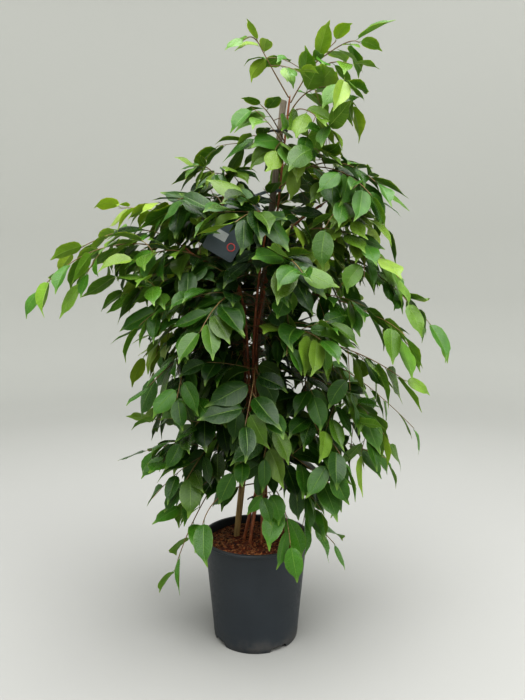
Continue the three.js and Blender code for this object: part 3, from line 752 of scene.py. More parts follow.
@dataclass(frozen=True)
class LeafFinish:
    """Blade of a fig leaf: its tone, with painted shade and painted light, and its age come from the mesh,
    its veins from its UV map.
    """

    name: str
    # The first colour is painted shade for leaves in the crown's core, the second painted light for those at
    # its rim, mixed with a random tone.
    dark: Colour
    fresh_and_lit: Colour
    young: Colour
    vein: Colour
    vein_share: float
    rib_share: float
    roughness: Range
    relief: float
    dull_share: float = 0.6
    patches_per_metre: float = 55.0
    patch_share: float = 0.3
    patch_relief: Relief = (0.35, 0.0011)
    through: float = 0.09
    through_colour: Place = (0.8, 1.0, 0.15)
    through_depth: float = 0.002
    shine: float = 0.3

    def build(self) -> Material:
        """Make the material.

        Returns:
            The material.
        """
        made = Surface(self.name)
        marks = made.add("Attribute", {}, attribute_name=LEAF_SHADE_AND_MARKS)["Color"]
        shade_and_tone, youth, dull = made.parts(marks, "Color")
        spot = made.parts(made.add("UVMap", {}, uv_map=LEAF_UV)[0])
        veins = made.group(LeafVeins, across=spot[0], along=spot[1])
        patches = made.mottle(self.patches_per_metre)
        # Painted shade and light: the leaf's tone blends from the dark colour in the crown's core to the
        # light one at its rim.
        tone = made.blend(shade_and_tone, self.dark, self.fresh_and_lit)
        tone = made.blend(youth, tone, self.young)
        tone = made.tint(patches["Both"], self.patch_share, tone, self.dark)
        tone = made.tint(veins["Side"], self.vein_share, tone, self.vein)
        tone = made.tint(veins["Midrib"], self.rib_share, tone, self.vein)
        tone = made.blend(veins["Margin"], tone, self.vein)
        dulled = made.math("MULTIPLY", dull, self.dull_share)
        spread = made.math("ADD", patches["Fine"], dulled, clamp=True)
        relief = made.bump(veins["Side"], 0.5, self.relief)
        relief = made.bump(veins["Midrib"], 0.6, 2 * self.relief, relief)
        return made.dress(
            tone, made.span(spread, 0, 1, *self.roughness),
            Normal=made.bump(patches["Both"], *self.patch_relief, relief),
            Specular_IOR_Level=self.shine, Subsurface_Weight=self.through,
            Subsurface_Radius=self.through_colour, Subsurface_Scale=self.through_depth,
        )


class Palette:
    """Every material of the plant, made once."""

    def __init__(self) -> None:
        """Make the materials."""
        self.pot = PotFinish().build()
        self.soil = SoilFinish().build()
        self.fibre = SoilFinish(
            colour(112, 72, 44), colour(168, 116, 74), colour(206, 168, 124), 0.4, "coir_fibre"
        ).build()
        self.cane = CaneFinish().build()
        self.bark = BarkFinish(
            "stem_bark", colour(184, 112, 70), colour(116, 60, 36), colour(206, 162, 118), 0.55
        ).build()
        self.twig = BarkFinish(
            "twig_skin", colour(140, 114, 68), colour(92, 66, 40), colour(164, 142, 100), 0.5
        ).build()
        self.tie = TieFinish().build()
        self.tag = [
            PrintFinish("tag_slate", colour(82, 93, 98), colour(62, 71, 76)).build(),
            PrintFinish("tag_paper", colour(186, 190, 188), colour(150, 156, 156), 0.5).build(),
            PrintFinish("tag_sage", colour(150, 172, 142), colour(124, 150, 118), 0.5).build(),
            PrintFinish("tag_coral", colour(214, 88, 84), colour(188, 66, 66), 0.4).build(),
        ]
        # Each leaf's first two colours are painted shade for the crown's core and painted light for its rim.
        self.upper = LeafFinish(
            "leaf_upper", colour(13, 41, 6), colour(71, 121, 34), colour(138, 163, 60),
            colour(124, 154, 66), 0.08, 0.5, (0.18, 0.34), 0.0003,
        ).build()
        self.under = LeafFinish(
            "leaf_under", colour(42, 74, 16), colour(100, 142, 40), colour(166, 190, 60),
            colour(150, 176, 80), 0.2, 0.8, (0.42, 0.6), 0.0004,
        ).build()


@dataclass
class Pot:
    """Tapered round nursery pot with a turned-out rim, a raised drained floor and foot notches."""

    height: float = 0.196
    rim_radius: float = 0.104
    rim_depth: float = 0.005
    wall_top: float = 0.0985
    base_radius: float = 0.080
    wall: float = 0.0016
    lip: float = 0.0011
    floor: float = 0.002
    pad_radius: float = 0.038
    foot_width: float = 0.008
    foot_height: float = 0.010
    slope: float = 0.008
    skirt: Range = (0.012, 0.0135)
    skirt_proud: float = 0.0004
    wall_rows: Range = (0.070, 0.130)
    inner_row: float = 0.090
    steps: int = 112
    notch_count: int = 4
    notch_angle: float = -57.0
    notch_width: float = 0.030
    notch_flare: float = 0.004
    notch_height: float = 0.0085
    spare: float = 0.004
    drain_count: int = 6
    drain_radius: float = 0.0055
    drain_ring: float = 0.057
    drain_sides: int = 16
    edge_round: float = 0.0003
    foot_round: float = 0.0016
    notch_round: float = 0.002
    sharp: float = 30.0
    shaded_from: float = 28.0

    def wall_radius(self, height: float) -> float:
        """Give the radius of the wall's outside at a height."""
        return lerp(self.base_radius, self.wall_top, height / (self.height - self.rim_depth))

    def floor_contour(self, lift: float, inset: float) -> list[Range]:
        """Give the contour of a surface over the underside, from its middle to the wall.

        Args:
            lift: its height in the middle.
            inset: how far it ends from the wall's outside.

        Returns:
            Its points, as radius and height.
        """
        height = self.foot_height + lift
        return [
            (0.0, lift),
            (self.pad_radius - lift, lift),
            (self.pad_radius + self.slope - lift, height),
            (self.wall_radius(height) - inset, height),
        ]

    def profile(self) -> list[Range]:
        """Give the outline that the pot is turned from, as radius and height.

        Returns:
            The outline's points, from the middle of its underside to the middle of its floor.
        """
        under = self.height - self.rim_depth
        inner = self.wall_top - self.wall
        foot = self.base_radius - self.foot_width
        return [
            (0.0, 0.0),
            (self.pad_radius, 0.0),
            (self.pad_radius + self.slope, self.foot_height),
            (foot - self.slope, self.foot_height),
            (foot, 0.0),
            (self.base_radius - 0.001, 0.0),
            (self.base_radius, self.foot_round),
            (self.wall_radius(self.skirt[0]) + self.skirt_proud, self.skirt[0]),
            *((self.wall_radius(row), row) for row in (self.skirt[1], *self.wall_rows)),
            (self.wall_top, under - 0.001),
            (self.rim_radius - self.lip, under),
            (self.rim_radius, under + self.lip),
            (self.rim_radius, self.height - self.lip),
            (self.rim_radius - self.lip, self.height),
            (inner + self.lip, self.height),
            (inner, self.height - self.lip),
            (inner - 0.0005, under - 0.004),
            (self.wall_radius(self.inner_row) - self.wall, self.inner_row),
            *reversed(self.floor_contour(self.floor, self.wall)),
        ]

    def body(self) -> Mesh:
        """Turn the pot's body.

        Returns:
            The closed body, without its openings.
        """
        bm = turned(self.profile(), self.steps)
        sharp = math.radians(self.sharp)
        soften(bm, [edge for edge in bm.edges if edge.calc_face_angle(0) > sharp], self.edge_round)
        return bm

    def notches(self) -> Mesh:
        """Make the shapes of the notches through the foot.

        Returns:
            The shapes to cut away.
        """
        bm = bmesh.new()
        depth = self.foot_width + self.slope + 1.5 * self.spare
        foot = self.notch_width + 2 * self.notch_flare
        size = Matrix.Diagonal((depth, foot, self.notch_height + 0.001, 1))
        bmesh.ops.create_cube(bm, size=1, matrix=size)
        for vert in bm.verts:
            if vert.co.z > 0:
                vert.co.y *= self.notch_width / foot
        upper = [
            edge for edge in bm.edges
            if abs(edge.verts[0].co.x - edge.verts[1].co.x) > depth / 2 and edge.verts[0].co.z > 0
        ]
        soften(bm, upper, self.notch_round, 3)
        spot = Vector((self.base_radius + self.spare - depth / 2, 0.0, self.notch_height / 2 - 0.0005))
        turn = Matrix.Rotation(math.radians(self.notch_angle), 4, "Z")
        bmesh.ops.transform(bm, matrix=turn @ Matrix.Translation(spot), verts=bm.verts)
        return repeat_round(bm, self.notch_count)

    def drains(self) -> Mesh:
        """Make the shapes of the drain holes.

        Returns:
            The shapes to cut away.
        """
        bm = bmesh.new()
        turn = Matrix.Rotation(math.pi / self.drain_count, 4, "Z")
        spot = turn @ Matrix.Translation((self.drain_ring, 0, self.foot_height))
        bmesh.ops.create_cone(
            bm, cap_ends=True, segments=self.drain_sides, matrix=spot, depth=5 * self.floor,
            radius1=self.drain_radius, radius2=self.drain_radius,
        )
        return repeat_round(bm, self.drain_count)

    def build(self, palette: Palette) -> Object:
        """Make the pot's piece in its finish."""
        bm = cut_away(cut_away(self.body(), self.notches()), self.drains())
        crease(bm, self.shaded_from)
        return finish_piece("nursery_pot", bm, [palette.pot], "pot", "pot")


def repeat_round(bm: Mesh, count: int) -> Mesh:
    """Repeat a shape round the upright axis.

    Args:
        bm: the shape.
        count: how many of it there are in the end.

    Returns:
        The same mesh, with all of them.
    """
    bmesh.ops.spin(
        bm, geom=[*bm.verts, *bm.edges, *bm.faces], cent=(0, 0, 0), axis=UP,
        angle=TURN * (count - 1) / count, steps=count - 1, use_duplicate=True,
    )
    return bm


def cut_away(body: Mesh, cutters: Mesh) -> Mesh:
    """Cut shapes out of a body with a Boolean modifier.

    Args:
        body: the body's mesh, which is freed.
        cutters: the shapes' mesh, which is freed.

    Returns:
        The cut body.
    """
    made = [solid("cut_body", body), solid("cut_shapes", cutters)]
    modifier = made[0].modifiers.new("cut", "BOOLEAN")
    modifier.operation = "DIFFERENCE"
    modifier.solver = "EXACT"
    modifier.object = made[1]
    bpy.context.view_layer.update()
    cut = made[0].evaluated_get(bpy.context.evaluated_depsgraph_get())
    bm = bmesh.new()
    bm.from_mesh(cut.to_mesh())
    cut.to_mesh_clear()
    for holder in made:
        mesh = holder.data
        bpy.data.objects.remove(holder)
        bpy.data.meshes.remove(mesh)
    return bm


@dataclass
class Soil:
    """Lumpy potting soil with loose crumbs and coir fibres on top."""

    pot: Pot
    level: float = 0.183
    edge_drop: float = 0.0022
    lump: float = 0.0022
    crown: float = 0.002
    rings: int = 22
    steps: int = 84
    gap: float = 0.0006
    lump_rate: tuple[float, ...] = (0.13, 0.05, 0.17, 0.04)
    rough_rate: float = 0.11
    fall_from: float = 0.75
    strewn: float = 0.965
    small_share: float = 0.75
    small: Range = (0.0011, 0.0019)
    large: Range = (0.002, 0.0042)
    fibre_length: Range = (0.008, 0.024)
    fibre_bow: Range = (0.001, 0.0045)
    fibre_radius: Range = (0.00025, 0.0005)
    crumb_depth: Range = (0.5, 1)
    crumb_height: Range = (0.35, 0.8)
    crumb_dents: float = 0.2
    fibre_bend: Range = (-0.3, 0.3)
    fibre_lift: float = 0.001
    fibre_room: float = 0.003
    crumbs: int = 620
    fibres: int = 170
    seed: int = 11

    def edge(self) -> float:
        """Give the radius of the soil's surface."""
        return self.pot.wall_radius(self.level) - self.pot.wall - self.gap

    def surface(self, x: float, y: float) -> float:
        """Give the height of the soil's surface.

        Args:
            x: a place's distance to the right.
            y: its distance to the back.

        Returns:
            The height over that place.
        """
        wide, deep = x / MM, y / MM
        share = min(math.hypot(x, y) / self.edge(), 1.0)
        a, b, c, d = self.lump_rate
        lumps = math.sin(wide * a + deep * b) * math.cos(deep * c - wide * d)
        spot = Vector((wide * self.rough_rate, deep * self.rough_rate, 3.0))
        rough = noise.fractal(spot, 1.0, 2.0, 4)
        fall = self.edge_drop * max(0.0, share - self.fall_from) / (1 - self.fall_from)
        return self.level - fall + self.lump * (lumps + rough) + self.crown * (1 - share**2)

    def body(self) -> Mesh:
        """Turn the soil's body and break up its surface.

        Returns:
            The closed body.
        """
        under = self.pot.floor_contour(self.pot.floor + 0.0003, self.pot.wall + self.gap)
        rings = [(self.edge() * ring / self.rings, self.level) for ring in range(self.rings, -1, -1)]
        bm = turned([*under, (self.edge() - 0.0014, self.level - 0.03), *rings], self.steps)
        for vert in bm.verts:
            if vert.co.z > self.level - 0.001:
                vert.co.z = self.surface(vert.co.x, vert.co.y)
        crease(bm, 50)
        return bm

    def scatter(self, rng: random.Random) -> Vector:
        """Draw a place on the surface.

        Args:
            rng: the draws.

        Returns:
            The place.
        """
        radius = self.edge() * math.sqrt(rng.random()) * self.strewn
        angle = rng.uniform(0, TURN)
        x, y = radius * math.cos(angle), radius * math.sin(angle)
        return Vector((x, y, self.surface(x, y)))

    def add_crumb(self, bm: Mesh, rng: random.Random) -> None:
        """Drop a crumb on the surface.

        Args:
            bm: the mesh.
            rng: the draws.
        """
        small = rng.random() < self.small_share
        size = rng.uniform(*(self.small if small else self.large))
        turn = Matrix.Rotation(rng.uniform(0, math.pi), 4, Vector((rng.random(), rng.random(), 1)))
        depth, height = rng.uniform(*self.crumb_depth), rng.uniform(*self.crumb_height)
        spot = Matrix.Translation(self.scatter(rng)) @ turn @ Matrix.Diagonal((1, depth, height, 1))
        made = bmesh.ops.create_icosphere(bm, subdivisions=1, radius=size, matrix=spot)["verts"]
        for vert in made:
            dent = Vector((rng.uniform(-1, 1), rng.uniform(-1, 1), rng.uniform(-1, 1)))
            vert.co += dent * size * self.crumb_dents

    def add_fibre(self, bm: Mesh, rng: random.Random) -> None:
        """Lay a bowed fibre on the surface, where it ends inside the pot.

        Args:
            bm: the mesh.
            rng: the draws.
        """
        start = self.scatter(rng)
        heading = Vector((rng.uniform(-1, 1), rng.uniform(-1, 1), 0)).normalized()
        length = rng.uniform(*self.fibre_length)
        end = start + heading * length
        if math.hypot(end.x, end.y) > self.edge() - self.fibre_room:
            return
        end.z = self.surface(end.x, end.y) + self.fibre_lift
        middle = (start + end) / 2 + heading.cross(UP) * rng.uniform(*self.fibre_bend) * length
        middle.z = self.surface(middle.x, middle.y) + rng.uniform(*self.fibre_bow)
        path = parabola(start, middle * 2 - (start + end) / 2, end, 5)
        thick = rng.uniform(*self.fibre_radius)
        sweep(bm, path, lambda share: thick, UP, 3, material=1)

    def build(self, palette: Palette) -> list[Object]:
        """Make the soil, and the crumbs and fibres that lie on it.

        Args:
            palette: the plant's materials.

        Returns:
            The two pieces.
        """
        loose = bmesh.new()
        rng = random.Random(self.seed)
        for _ in range(self.crumbs):
            self.add_crumb(loose, rng)
        for _ in range(self.fibres):
            self.add_fibre(loose, rng)
        return [
            finish_piece("potting_soil", self.body(), [palette.soil], "soil", "soil"),
            finish_piece("soil_crumbs", loose, [palette.soil, palette.fibre], "soil"),
        ]


@dataclass
class Stem:
    """One slender stem, swept along a smooth curve, with swellings where leaves once grew."""

    name: str
    stops: tuple[Place, ...]
    soil_radius: float = 0.0033
    tip_radius: float = 0.0018
    solid_tip_radius: float = 0.002
    solid_steps: int = 14
    sides: int = 10
    steps: int = 70
    joints: int = 11
    bud_from: float = 0.985
    bud_end: float = 0.0003
    joint_swelling: float = 0.13
    joint_share: float = 1 / 7

    def coarse_path(self) -> list[Vector]:
        """Give the stem's path as its solid has it."""
        return smooth_curve([at(stop) for stop in self.stops], self.solid_steps)

    def path(self) -> list[Vector]:
        """Give the stem's smooth path."""
        return smooth_curve(self.coarse_path(), self.steps)

    def spot(self, height: float) -> tuple[Vector, Vector, float]:
        """Find where the stem passes a height.

        Args:
            height: the height.

        Returns:
            The point, and the stem's direction and its solid's radius there.
        """
        path = self.coarse_path()
        above = next(index for index, stop in enumerate(path) if stop.z >= height)
        low = path[above - 1]
        along = path[above] - low
        share = (height - low.z) / along.z
        radius = lerp(self.soil_radius, self.solid_tip_radius, (above - 1 + share) / self.solid_steps)
        return low + along * share, along.normalized(), radius

    def radius_at(self, share: float) -> float:
        """Give the stem's radius at a share of it.

        Args:
            share: the share.

        Returns:
            The radius, which is greater at an old leaf's joint and runs out in a bud.
        """
        if share > self.bud_from:
            return lerp(self.tip_radius, self.bud_end, (share - self.bud_from) / (1 - self.bud_from))
        joint = abs((share * self.joints) % 1 - 0.5) * 2
        swelling = 1 + self.joint_swelling * max(0.0, 1 - joint / self.joint_share)
        return lerp(self.soil_radius, self.tip_radius, share) * swelling

    def build(self, palette: Palette) -> Object:
        """Make the stem's piece in its finish."""
        bm = bmesh.new()
        sweep(bm, self.path(), self.radius_at, FRONT, self.sides)
        return finish_piece("bark_" + self.name, bm, [palette.bark], "bark", "stem_" + self.name)


@dataclass
class Cane:
    """Split cane, flat at its back, with knuckles along it and a slanting cut on top."""

    foot: tuple[float, float] = (-0.038, 0.017)
    top_x: float = 0.052
    width: float = 0.012
    depth: float = 0.005
    base: float = 0.120
    height: float = 1.014
    soil_level: float = 0.183
    steps: int = 44
    knuckles: tuple[float, ...] = (0.302, 0.538, 0.771, 0.944)
    knuckle_rows: tuple[float, ...] = (-0.004, -0.0012, 0.0012, 0.004)
    swelling: float = 0.055
    knuckle_half: float = 0.0035
    sides: int = 16
    back_flatness: float = 1.7
    top_slant: float = 0.35
    strap_room: float = 0.0014
    strap_rounding: float = 0.0028

    def centre(self, height: float) -> Vector:
        """Give the cane's middle at a height."""
        share = (height - self.soil_level) / (self.height - self.soil_level)
        return Vector((lerp(self.foot[0], self.top_x, share), self.foot[1], height))

    def row(self, height: float) -> Matrix:
        """Give what takes the section from the origin to a height, swollen near a knuckle."""
        near = min(abs(height - knuckle) for knuckle in self.knuckles)
        grow = 1.0 + self.swelling * max(0.0, 1 - near / self.knuckle_half)
        return Matrix.Translation(self.centre(height)) @ Matrix.Diagonal((grow, grow, 1, 1))

    def build(self, palette: Palette) -> Object:
        """Make the cane: its section is extruded upwards in stretches.

        Args:
            palette: the plant's materials.

        Returns:
            The cane's object.
        """
        bm = bmesh.new()
        half, depth = self.width / 2, self.depth / 2
        made = bmesh.ops.create_circle(bm, segments=self.sides, radius=1)["verts"]
        for vert in made:
            back = vert.co.y > 0
            vert.co.x *= half
            vert.co.y = min(vert.co.y * self.back_flatness, 1.0) * depth if back else vert.co.y * depth
        bmesh.ops.transform(bm, matrix=self.row(self.base), verts=made)
        ring = list(bm.edges)
        bmesh.ops.edgeloop_fill(bm, edges=ring)
        shares = [step / self.steps for step in range(1, self.steps + 1)]
        rows = {round(lerp(self.base, self.height, share), 5) for share in shares}
        rows |= {knuckle + shift for knuckle in self.knuckles for shift in self.knuckle_rows}
        last = self.row(self.base)
        for height in sorted(rows):
            ring = grow_ring(bm, ring, self.row(height) @ last.inverted())
            last = self.row(height)
        for vert in {vert for edge in ring for vert in edge.verts}:
            vert.co.z -= (vert.co.x - self.centre(self.height).x + half) * self.top_slant
        bmesh.ops.edgeloop_fill(bm, edges=ring)
        bmesh.ops.recalc_face_normals(bm, faces=bm.faces)
        crease(bm, 35)
        return finish_piece("split_cane", bm, [palette.cane], "cane", "stake")

    def loop(self, leader: Stem, level: float) -> list[Vector]:
        """Give a level loop round the cane and the leading stem beside it.

        Args:
            leader: the stem.
            level: the loop's height.

        Returns:
            The loop's points.
        """
        room, rounding = self.strap_room, self.strap_rounding
        spot, _, radius = leader.spot(level)
        middle = self.centre(level)
        left = middle.x - self.width / 2 - room
        right = spot.x + radius + room
        back = middle.y + self.depth / 2 + room
        front = min(middle.y - self.depth / 2, spot.y - radius) - room
        loop = []
        for x, y, start in ((right, back, 0), (left, back, 90), (left, front, 180), (right, front, 270)):
            centre_x = x - math.copysign(rounding, x - middle.x)
            centre_y = y - math.copysign(rounding, y - middle.y)
            for step in range(6):
                angle = math.radians(start + 18 * step)
                out = Vector((math.cos(angle), math.sin(angle), 0)) * rounding
                loop.append(Vector((centre_x, centre_y, level)) + out)
        return loop


def band(bm: Mesh, loop: Path, height: float, thickness: float) -> None:
    """Run a flat strap with rounded edges round a closed level loop.

    Args:
        bm: the mesh.
        loop: the loop's points, round the middle of the strap's thickness.
        height: the strap's width, which stands upright.
        thickness: the strap's thickness.
    """
    before = set(bm.faces)
    verts = [bm.verts.new(spot - UP * height / 2) for spot in loop]
    ring = [bm.edges.new(pair) for pair in zip(verts, verts[1:] + verts[:1])]
    grow_ring(bm, ring, Matrix.Translation(UP * height))
    bmesh.ops.solidify(bm, geom=skin_since(bm, before), thickness=thickness)
    edges = {edge for face in skin_since(bm, before) for edge in face.edges}
    soften(bm, {edge for edge in edges if edge.calc_face_angle(0) > math.radians(60)}, thickness * 0.28)


def strap_end(bm: Mesh, path: Path, width: float, near: Vector) -> None:
    """Run the loose end of a strap along a path, with its width close to a direction."""
    sweep(bm, path, lambda share: width / 2, near, 12, flat=STRAP_THICKNESS / width)


STRAP_THICKNESS = 0.0012
BUNDLE_LEVELS = (0.268, 0.321)
BUNDLE_ROOM = 0.0011
TOP_LEVEL = 0.957


def round_stems(stems: Iterable[Stem], level: float, room: float) -> list[Vector]:
    """Give a slightly wavy loop round a bundle of stems.

    Args:
        stems: the stems.
        level: the loop's height.
        room: how far it keeps from the outermost stems.

    Returns:
        The loop's points.
    """
    steps, wave = 48, 0.0005
    spots = [stem.spot(level) for stem in stems]
    middle = sum((spot[0] for spot in spots), Vector()) / len(spots)
    loop = []
    for step in range(steps):
        angle = TURN * step / steps
        out = Vector((math.cos(angle), math.sin(angle), 0))
        reach = max((spot - middle).dot(out) + radius for spot, _, radius in spots)
        loop.append(middle + out * (reach + room) + UP * wave * math.sin(2 * angle))
    return loop


@dataclass
class Tie:
    """Black strap with a knot and one free end: its node, its piece's name and its sizes."""

    node: str
    name: str
    run: Place
    height: float = 0.003
    thickness: float = 0.0014
    knot: Place = (0.00198, 0.00264, 0.00242)
    rise: float = 0.0022

    def build(self, palette: Palette, loop: Path, knot: Vector) -> Object:
        """Make the tie.

        Args:
            palette: the plant's materials.
            loop: the loop that it is drawn into.
            knot: where its knot is.

        Returns:
            The tie's object.
        """
        bm = bmesh.new()
        band(bm, loop, self.height, self.thickness)
        shape = Matrix.Translation(knot) @ Matrix.Diagonal((*self.knot, 1))
        bmesh.ops.create_icosphere(bm, subdivisions=2, radius=1, matrix=shape)
        end = knot + at(self.run)
        strap_end(bm, parabola(knot, (knot + end) / 2 + UP * self.rise, end, 8), self.height, UP)
        crease(bm, 50)
        return finish_piece(self.name, bm, [palette.tie], "tie", self.node)


def tie_up(palette: Palette, stems: dict[str, Stem], cane: Cane) -> list[Object]:
    """Tie the stems together at two levels, and the leading stem to the cane at a third.

    Args:
        palette: the plant's materials.
        stems: the stems.
        cane: the cane.

    Returns:
        The three ties.
    """
    low, middle = (round_stems(stems.values(), level, BUNDLE_ROOM) for level in BUNDLE_LEVELS)
    top = cane.loop(stems["leader"], TOP_LEVEL)
    beside = cane.centre(TOP_LEVEL) - Vector((cane.width / 2 + cane.strap_room, 0, 0))
    wide = Tie("tie_top", "cane_tie", (-16, -8, -4), 0.004, 0.0015, (0.00192, 0.00288, 0.00276), 0.003)
    return [
        Tie("tie_low", "stem_tie_low", (-9, -5, -3)).build(palette, low, low[len(low) // 2]),
        Tie("tie_mid", "stem_tie_mid", (17, -6, 1)).build(palette, middle, middle[0]),
        wide.build(palette, top, beside),
    ]


class Sticker(Enum):
    """Kinds of blank patch on the tag, with their material slots."""

    PAPER = 1
    SAGE = 2
    CORAL = 3


@dataclass
class Tag:
    """Plant tag: a strap looped round the cane and a thin plate that hangs askew from it."""

    width: float = 0.060
    length: float = 0.108
    thickness: float = 0.0009
    neck: float = 0.008
    strap_width: float = 0.007
    top: Place = (-14, -62, 818)
    lean: float = 30.0
    band_level: float = 0.848
    band_height: float = 0.005
    corner: float = 0.005
    patch_thickness: float = 0.0003
    patches: tuple[tuple[Sticker, float, float, float, float], ...] = (
        (Sticker.PAPER, -0.016, 0.020, 0.020, 0.016),
        (Sticker.PAPER, 0.012, 0.018, 0.014, 0.008),
        (Sticker.PAPER, -0.004, 0.040, 0.026, 0.012),
        (Sticker.SAGE, 0.018, 0.034, 0.014, 0.010),
        (Sticker.PAPER, -0.010, 0.074, 0.024, 0.016),
    )
    ring_spot: tuple[float, float] = (0.016, 0.084)
    ring_radius: float = 0.0065
    ring_section: float = 0.0011
    neck_round: float = 0.002
    patch_round: float = 0.0008
    band_thickness: float = 0.0014
    strap_lap: float = 0.002
    strap_rise: float = 0.008

    def __post_init__(self) -> None:
        """Work out the directions across the plate and down it, and the matrix to its place."""
        lean = math.radians(self.lean)
        self.across = Vector((math.cos(lean), 0, -math.sin(lean)))
        self.down = Vector((-math.sin(lean), 0, -math.cos(lean)))
        self.normal = self.across.cross(self.down)
        turn = Matrix((self.across, self.down, self.normal)).transposed().to_4x4()
        self.on_plate = Matrix.Translation(at(self.top)) @ turn

    def sheet(self, bm: Mesh, middle: Place, size: Place, corner: float, material: int = 0) -> None:
        """Add a thin rounded sheet in the plate's own plane, Y downwards.

        Args:
            bm: the mesh.
            middle: the sheet's middle.
            size: its width, length and thickness.
            corner: the radius of its corners.
            material: its faces' material slot.
        """
        before = set(bm.faces)
        shape = self.on_plate @ Matrix.Translation(middle) @ Matrix.Diagonal((*size, 1))
        posts = [
            edge for edge in edges_of(bmesh.ops.create_cube(bm, size=1, matrix=shape)["verts"])
            if abs((edge.verts[0].co - edge.verts[1].co).normalized().dot(self.normal)) > 0.9
        ]
        soften(bm, posts, corner, 4)
        skin_since(bm, before, material)

    def add_ring(self, bm: Mesh) -> None:
        """Lay a flat coral ring on the plate's front."""
        before = set(bm.faces)
        upright = Matrix.Translation((self.ring_radius, 0, 0)) @ Matrix.Rotation(math.pi / 2, 4, "X")
        section = bmesh.ops.create_circle(bm, segments=8, radius=self.ring_section, matrix=upright)["verts"]
        spin(bm, section + edges_of(section), 28)
        verts = list({vert for face in bm.faces if face not in before for vert in face.verts})
        spot = Matrix.Translation((*self.ring_spot, -self.thickness / 2))
        bmesh.ops.transform(bm, matrix=self.on_plate @ spot, verts=verts)
        bmesh.ops.remove_doubles(bm, verts=verts, dist=1e-6)
        skin_since(bm, before, Sticker.CORAL.value)

    def build(self, palette: Palette, cane: Cane, leader: Stem) -> Object:
        """Make the tag.

        Args:
            palette: the plant's materials.
            cane: the cane that it hangs from.
            leader: the stem beside the cane.

        Returns:
            The tag's object.
        """
        bm = bmesh.new()
        self.sheet(bm, (0, self.length / 2, 0), (self.width, self.length, self.thickness), self.corner)
        neck = (self.strap_width * 1.6, self.neck * 2, self.thickness)
        self.sheet(bm, (0, -self.neck * 0.4, 0), neck, self.neck_round)
        for kind, x, y, width, length in self.patches:
            for proud in (self.thickness / 2, -self.thickness / 2):
                size = (width, length, self.patch_thickness)
                self.sheet(bm, (x, y, proud), size, self.patch_round, kind.value)
        self.add_ring(bm)
        loop = cane.loop(leader, self.band_level)
        band(bm, loop, self.band_height, self.band_thickness)
        middle = sum(spot.x for spot in loop) / len(loop)
        start = Vector((middle, min(spot.y for spot in loop), self.band_level))
        end = at(self.top) + self.down * self.strap_lap
        path = parabola(start, (start + end) / 2 + UP * self.strap_rise, end, 10)
        strap_end(bm, path, self.strap_width, self.across)
        crease(bm, 40)
        return finish_piece("plant_tag", bm, palette.tag, "tag", "tag")


@dataclass(frozen=True)
class Shoot:
    """A leafy twig: the top of its arch, its end, its bare share, its leaves and where it forks off."""

    over: Place
    to: Place
    bare: float
    leaves: int
    start: float = 0.0


@dataclass(frozen=True)
class Spray:
    """A twig with its side shoots: its stem, the height it leaves it at, and its leaves' size and age."""

    name: str
    stem: str
    height: float
    size: float
    young: float
    shoots: tuple[Shoot, ...]


STEMS: dict[str, tuple[Place, ...]] = {
    "leader": (
        (12, 21, 120), (12, 21, 183), (13, 8, 268), (17, 8, 321), (3, 8, 408), (-4, 7, 523),
        (2, 5, 600), (20, 5, 690), (34, 9, 750), (45, 14, 850), (56, 16, 957), (64, 17, 1022),
    ),
    "right": (
        (24, 0, 120), (24, 0, 183), (18, -1, 268), (22, -1, 321), (8, -1, 408), (1, -1, 523),
        (4, -3, 590), (14, -6, 650), (28, -8, 705), (49, -6, 756), (80, 0, 790), (130, 10, 826),
    ),
    "front": (
        (12, -21, 120), (12, -21, 183), (13, -10, 268), (17, -10, 321), (3, -10, 408),
        (-4, -10, 523), (-2, -16, 590), (4, -34, 660), (12, -60, 720), (18, -88, 760),
    ),
    "left_low": (
        (-12, -21, 120), (-12, -21, 183), (3, -10, 268), (7, -10, 321), (-7, -10, 408),
        (-14, -10, 523), (-18, -12, 600), (-29, -14, 663), (-51, -16, 690), (-75, -18, 703),
        (-105, -20, 722), (-135, -22, 745),
    ),
    "left_high": (
        (-24, 0, 120), (-24, 0, 183), (-2, -1, 268), (2, -1, 321), (-12, -1, 408), (-20, -1, 523),
        (-24, 2, 600), (-34, 8, 663), (-46, 12, 720), (-56, 12, 790), (-62, 10, 850),
    ),
    "back": (
        (-12, 21, 120), (-12, 21, 183), (3, 8, 268), (7, 8, 321), (-7, 7, 408), (-14, 8, 523),
        (-18, 16, 590), (-22, 36, 650), (-20, 62, 700), (-12, 95, 745), (0, 125, 775),
    ),
}

